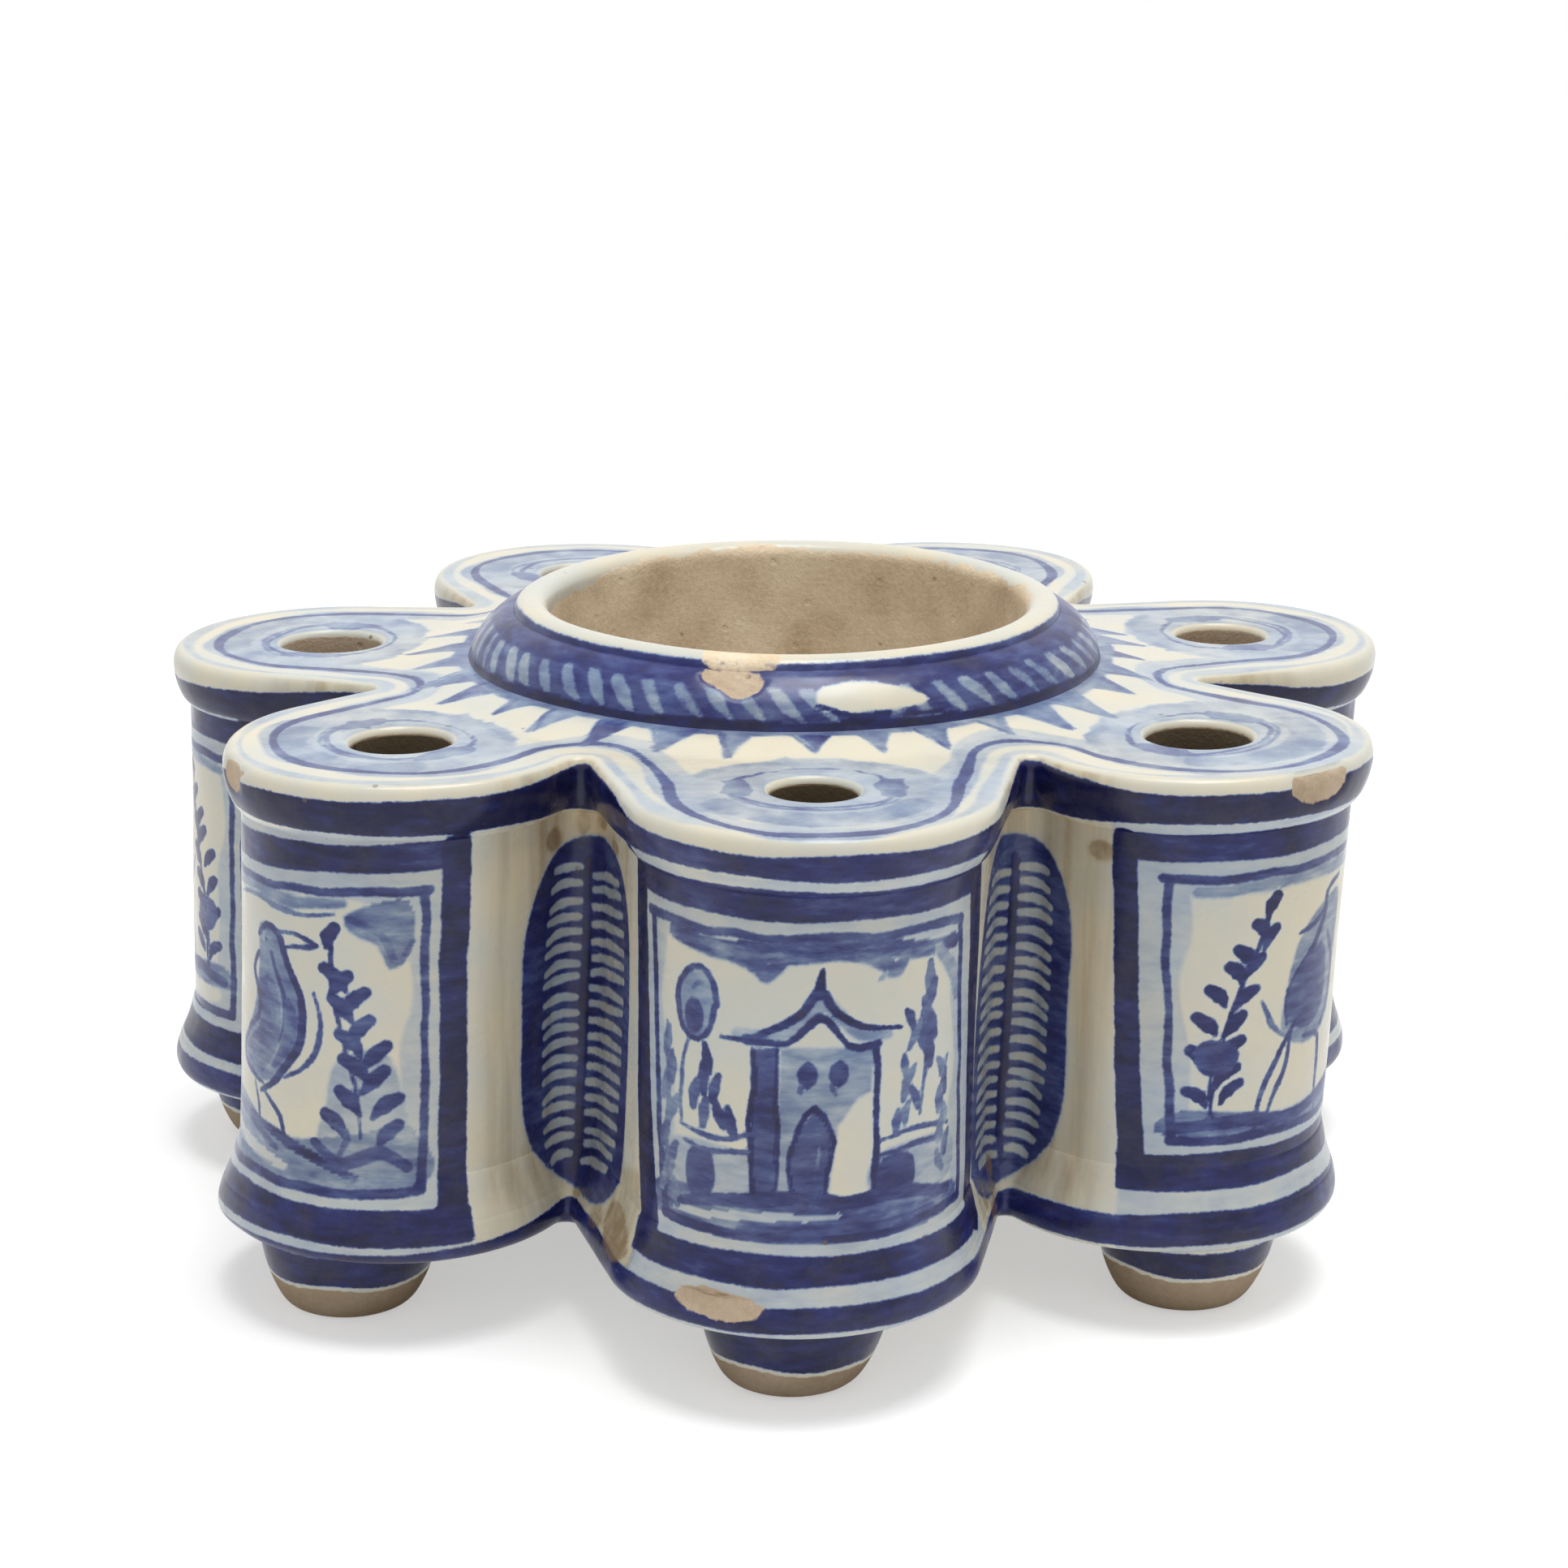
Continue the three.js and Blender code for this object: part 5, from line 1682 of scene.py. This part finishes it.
bumpStrength = 0.5


def bumped(tree, height, distance):
    sources = {"Height": height, "Distance": distance, "Strength": bumpStrength}
    return addNode(tree, "ShaderNodeBump", sources).outputs[0]


paintedLook = {
    "tornScale": 700,  # the ragged edge of bare clay
    "torn": 0.9,
    "bareEdge": (0.36, 0.64),
    # the bare clay turns dark brown where the stain layer runs high: painted shade down the quill holes,
    # and the darkening at the feet's bottoms
    "darkClayEdge": (0.7, 2.3),
    "darkClayMost": 0.9,
    "ink": (0.060, 0.038, 0.014, 1),
    "bareRoughness": 0.6,
    "bump": 0.00035,
    "specular": 0.34,
}


def paintedMaterial(name, clayTint, age):
    material, tree, shader = newMaterial(name)
    place = addNode(tree, "ShaderNodeTexCoord").outputs["Object"]
    layers = {}
    for layer in layerNames:
        layers[layer] = addNode(tree, "ShaderNodeAttribute", attribute_name=layer).outputs["Fac"]
    paint = useGroup(tree, "cobalt", {"Position": place, "Line": layers["line"],
                                      "Line Tone": layers["lineTone"], "Wash": layers["wash"],
                                      "Wash Tone": layers["washTone"], "Stain And Shade": layers["stainAndShade"]})
    aged = useGroup(tree, "age", {"Position": place, "Color": paint.outputs["Color"], "Amount": age})
    bareClay = useGroup(tree, "clay", {"Position": place, "Tint": clayTint})
    torn = times(tree, minus(tree, noise(tree, place, paintedLook["tornScale"]), 0.5), paintedLook["torn"])
    bare = remap(tree, plus(tree, layers["bare"], torn), *paintedLook["bareEdge"])
    # the clay's dark brown: painted shade down the quill holes, and the darker feet bottoms
    inked = remap(tree, layers["stainAndShade"], *paintedLook["darkClayEdge"], 0.0, paintedLook["darkClayMost"])
    darkenedClay = mixed(tree, inked, bareClay.outputs["Color"], paintedLook["ink"])
    rough = plus(tree, times(tree, bare, paintedLook["bareRoughness"]), aged.outputs["Roughness"],
                 clamp=True)
    heights = {0: bare, 2: aged.outputs["Height"], 3: bareClay.outputs["Height"]}
    height = addNode(tree, "ShaderNodeMix", heights, data_type="FLOAT").outputs[0]
    feed(tree, shader, {"Base Color": mixed(tree, bare, aged.outputs["Color"], darkenedClay),
                        "Roughness": rough, "Normal": bumped(tree, height, paintedLook["bump"]),
                        "Specular IOR Level": paintedLook["specular"]})
    return material


cupLook = {
    "cloudScale": 60,
    "cloudEdge": (0.3, 0.7),
    "creams": ((0.74, 0.71, 0.63, 1), (0.69, 0.64, 0.54, 1)),
    "tide": (0.048, 0.040),  # heights, in metres, from clean glaze down to where ink has stood
    "tideWaver": 0.006,
    "tideScale": 90,
    "tideShare": 0.55,
    "ink": (0.10, 0.11, 0.19, 1),
    "age": 0.8,
    "bump": 0.0003,
}


def plainGlazeMaterial():
    material, tree, shader = newMaterial("plainCreamGlaze")
    place = addNode(tree, "ShaderNodeTexCoord").outputs["Object"]
    cloud = remap(tree, noise(tree, place, cupLook["cloudScale"], 4.0), *cupLook["cloudEdge"])
    cream = mixed(tree, cloud, *cupLook["creams"])
    height = addNode(tree, "ShaderNodeSeparateXYZ", {0: place}).outputs["Z"]
    waver = times(tree, noise(tree, place, cupLook["tideScale"]), cupLook["tideWaver"])
    tide = remap(tree, plus(tree, height, waver), *cupLook["tide"])
    inked = mixed(tree, times(tree, tide, cupLook["tideShare"]), cream, cupLook["ink"])
    aged = useGroup(tree, "age", {"Position": place, "Color": inked, "Amount": cupLook["age"]})
    feed(tree, shader, {"Base Color": aged.outputs["Color"], "Roughness": aged.outputs["Roughness"],
                        "Normal": bumped(tree, aged.outputs["Height"], cupLook["bump"])})
    return material


finishes = {
    "painted": paintedMaterial("paintedTinGlaze", (1, 1, 1, 1), 0.7),
    # the well's clay is tinted half again as bright as the rest: painted light, for the light that falls
    # down into the well
    "well": paintedMaterial("wellClayAndLip", (1.5, 1.58, 1.58, 1), 0.5),
    "foot": paintedMaterial("footGlazeAndClay", (0.72, 0.70, 0.66, 1), 0.8),
    "cup": plainGlazeMaterial(),
}


def finish(piece, node, cadBody, look):
    settle(piece, node, cadBody)
    piece.data.materials.clear()
    piece.data.materials.append(finishes[look])


for name, piece in walls.items():
    cadName = name.replace("lobeWall", "lobe_wall_").replace("groovePanel", "groove_panel_")
    finish(piece, cadName, "stand", "painted")
finish(floorPiece, "floor_slab", "stand", "painted")
finish(covePiece, "base_cove", "stand", "painted")
finish(slabPiece, "top_slab", "stand", "painted")
finish(wellPiece, "ink_well", "stand", "well")
finish(collarPiece, "rope_collar", "stand", "painted")
for lobe, foot in enumerate(feet):
    finish(foot, f"foot_{lobe + 1}", "stand", "foot")
finish(cupPiece, "ink_cup", "ink_cup", "cup")

# Camera at the photo's place, in millimetres
camera = {
    "lens": 78.52,
    "sensor": 36.0,
    "azimuth": math.radians(2.97),  # a little from the left
    "distance": 458.16,
    "rise": 141.1,
    "targetHeight": 45.0,
    "aimRight": 0.97,
    "aimUp": 10.44,
    "roll": math.radians(0.3),
    "clipStart": 0.01,
}


def placeCamera():
    target = Vector((axisX + pot["lean"] * camera["targetHeight"], axisY, camera["targetHeight"]))
    back = Vector((-math.sin(camera["azimuth"]), -math.cos(camera["azimuth"]), 0)) * camera["distance"]
    eye = target + back + Vector((0, 0, camera["rise"]))
    right = Vector((math.cos(camera["azimuth"]), -math.sin(camera["azimuth"]), 0))
    up = right.cross(target - eye).normalized()
    aim = target + right * camera["aimRight"] + up * camera["aimUp"]
    startClean()
    bpy.ops.object.camera_add(location=eye * millimetre)
    eyePiece = bpy.context.object
    eyePiece.data.lens = camera["lens"]
    eyePiece.data.sensor_width = camera["sensor"]
    turn = (aim - eye).to_track_quat("-Z", "Y")
    eyePiece.rotation_euler = (turn.to_matrix() @ Euler((0, 0, camera["roll"])).to_matrix()).to_euler()
    eyePiece.data.clip_start = camera["clipStart"]
    bpy.context.scene.camera = eyePiece


placeCamera()

# Floor, world and lights
studio = {
    "floorSize": 1.3,
    "floorColour": (0.97, 0.967, 0.96, 1),
    "floorGlowShare": 0.22,  # how much of the floor that the camera sees is plain white
    "floorGlow": 2.1,
    "floorRoughness": 0.95,
    "floorSpecular": 0.1,
    "worldStrength": 0.38,
    "keyPower": 17.5,
    "keySize": 0.8,
    "keyPlace": (0.12, -0.1, 1.5),
    "keyAim": (0, 0, 0.04),
    "white": (1, 1, 1, 1),
}


def seenShare(tree, share):  # a share for camera, glossy and transmission rays, and none for the rest
    rays = addNode(tree, "ShaderNodeLightPath")
    seen = plus(tree, rays.outputs["Is Camera Ray"], rays.outputs["Is Glossy Ray"])
    seen = plus(tree, seen, rays.outputs["Is Transmission Ray"], clamp=True)
    return times(tree, seen, share)


def makeFloor():
    startClean()
    bpy.ops.mesh.primitive_plane_add(size=studio["floorSize"], location=(0, 0, 0))
    floor = bpy.context.object
    floor.name = "studioFloor"
    material, tree, shader = newMaterial("studioWhite")
    feed(tree, shader, {"Base Color": studio["floorColour"], "Roughness": studio["floorRoughness"],
                        "Specular IOR Level": studio["floorSpecular"]})
    glow = addNode(tree, "ShaderNodeEmission", {"Strength": studio["floorGlow"]})
    share = seenShare(tree, studio["floorGlowShare"])
    mix = addNode(tree, "ShaderNodeMixShader", {0: share, 1: shader.outputs[0], 2: glow.outputs[0]})
    feed(tree, tree.nodes["Material Output"], {0: mix.outputs[0]})
    floor.data.materials.append(material)


def makeWorld():
    world = bpy.data.worlds.new("studioWorld")
    bpy.context.scene.world = world
    world.use_nodes = True
    tree = world.node_tree
    sky = tree.nodes["Background"]
    feed(tree, sky, {0: studio["white"], 1: studio["worldStrength"]})
    white = addNode(tree, "ShaderNodeBackground", {0: studio["white"], 1: 1.0})
    mix = addNode(tree, "ShaderNodeMixShader", {0: seenShare(tree, 1.0), 1: sky.outputs[0],
                                                2: white.outputs[0]})
    feed(tree, tree.nodes["World Output"], {0: mix.outputs[0]})


def makeKey():
    bpy.ops.object.light_add(type="AREA", location=studio["keyPlace"])
    key = bpy.context.object
    key.data.size = studio["keySize"]
    key.data.energy = studio["keyPower"]
    aim = Vector(studio["keyAim"]) - Vector(studio["keyPlace"])
    key.rotation_euler = aim.to_track_quat("-Z", "Y").to_euler()


makeFloor()
makeWorld()
makeKey()
bpy.context.scene.view_settings.view_transform = "Standard"
print("studio set")
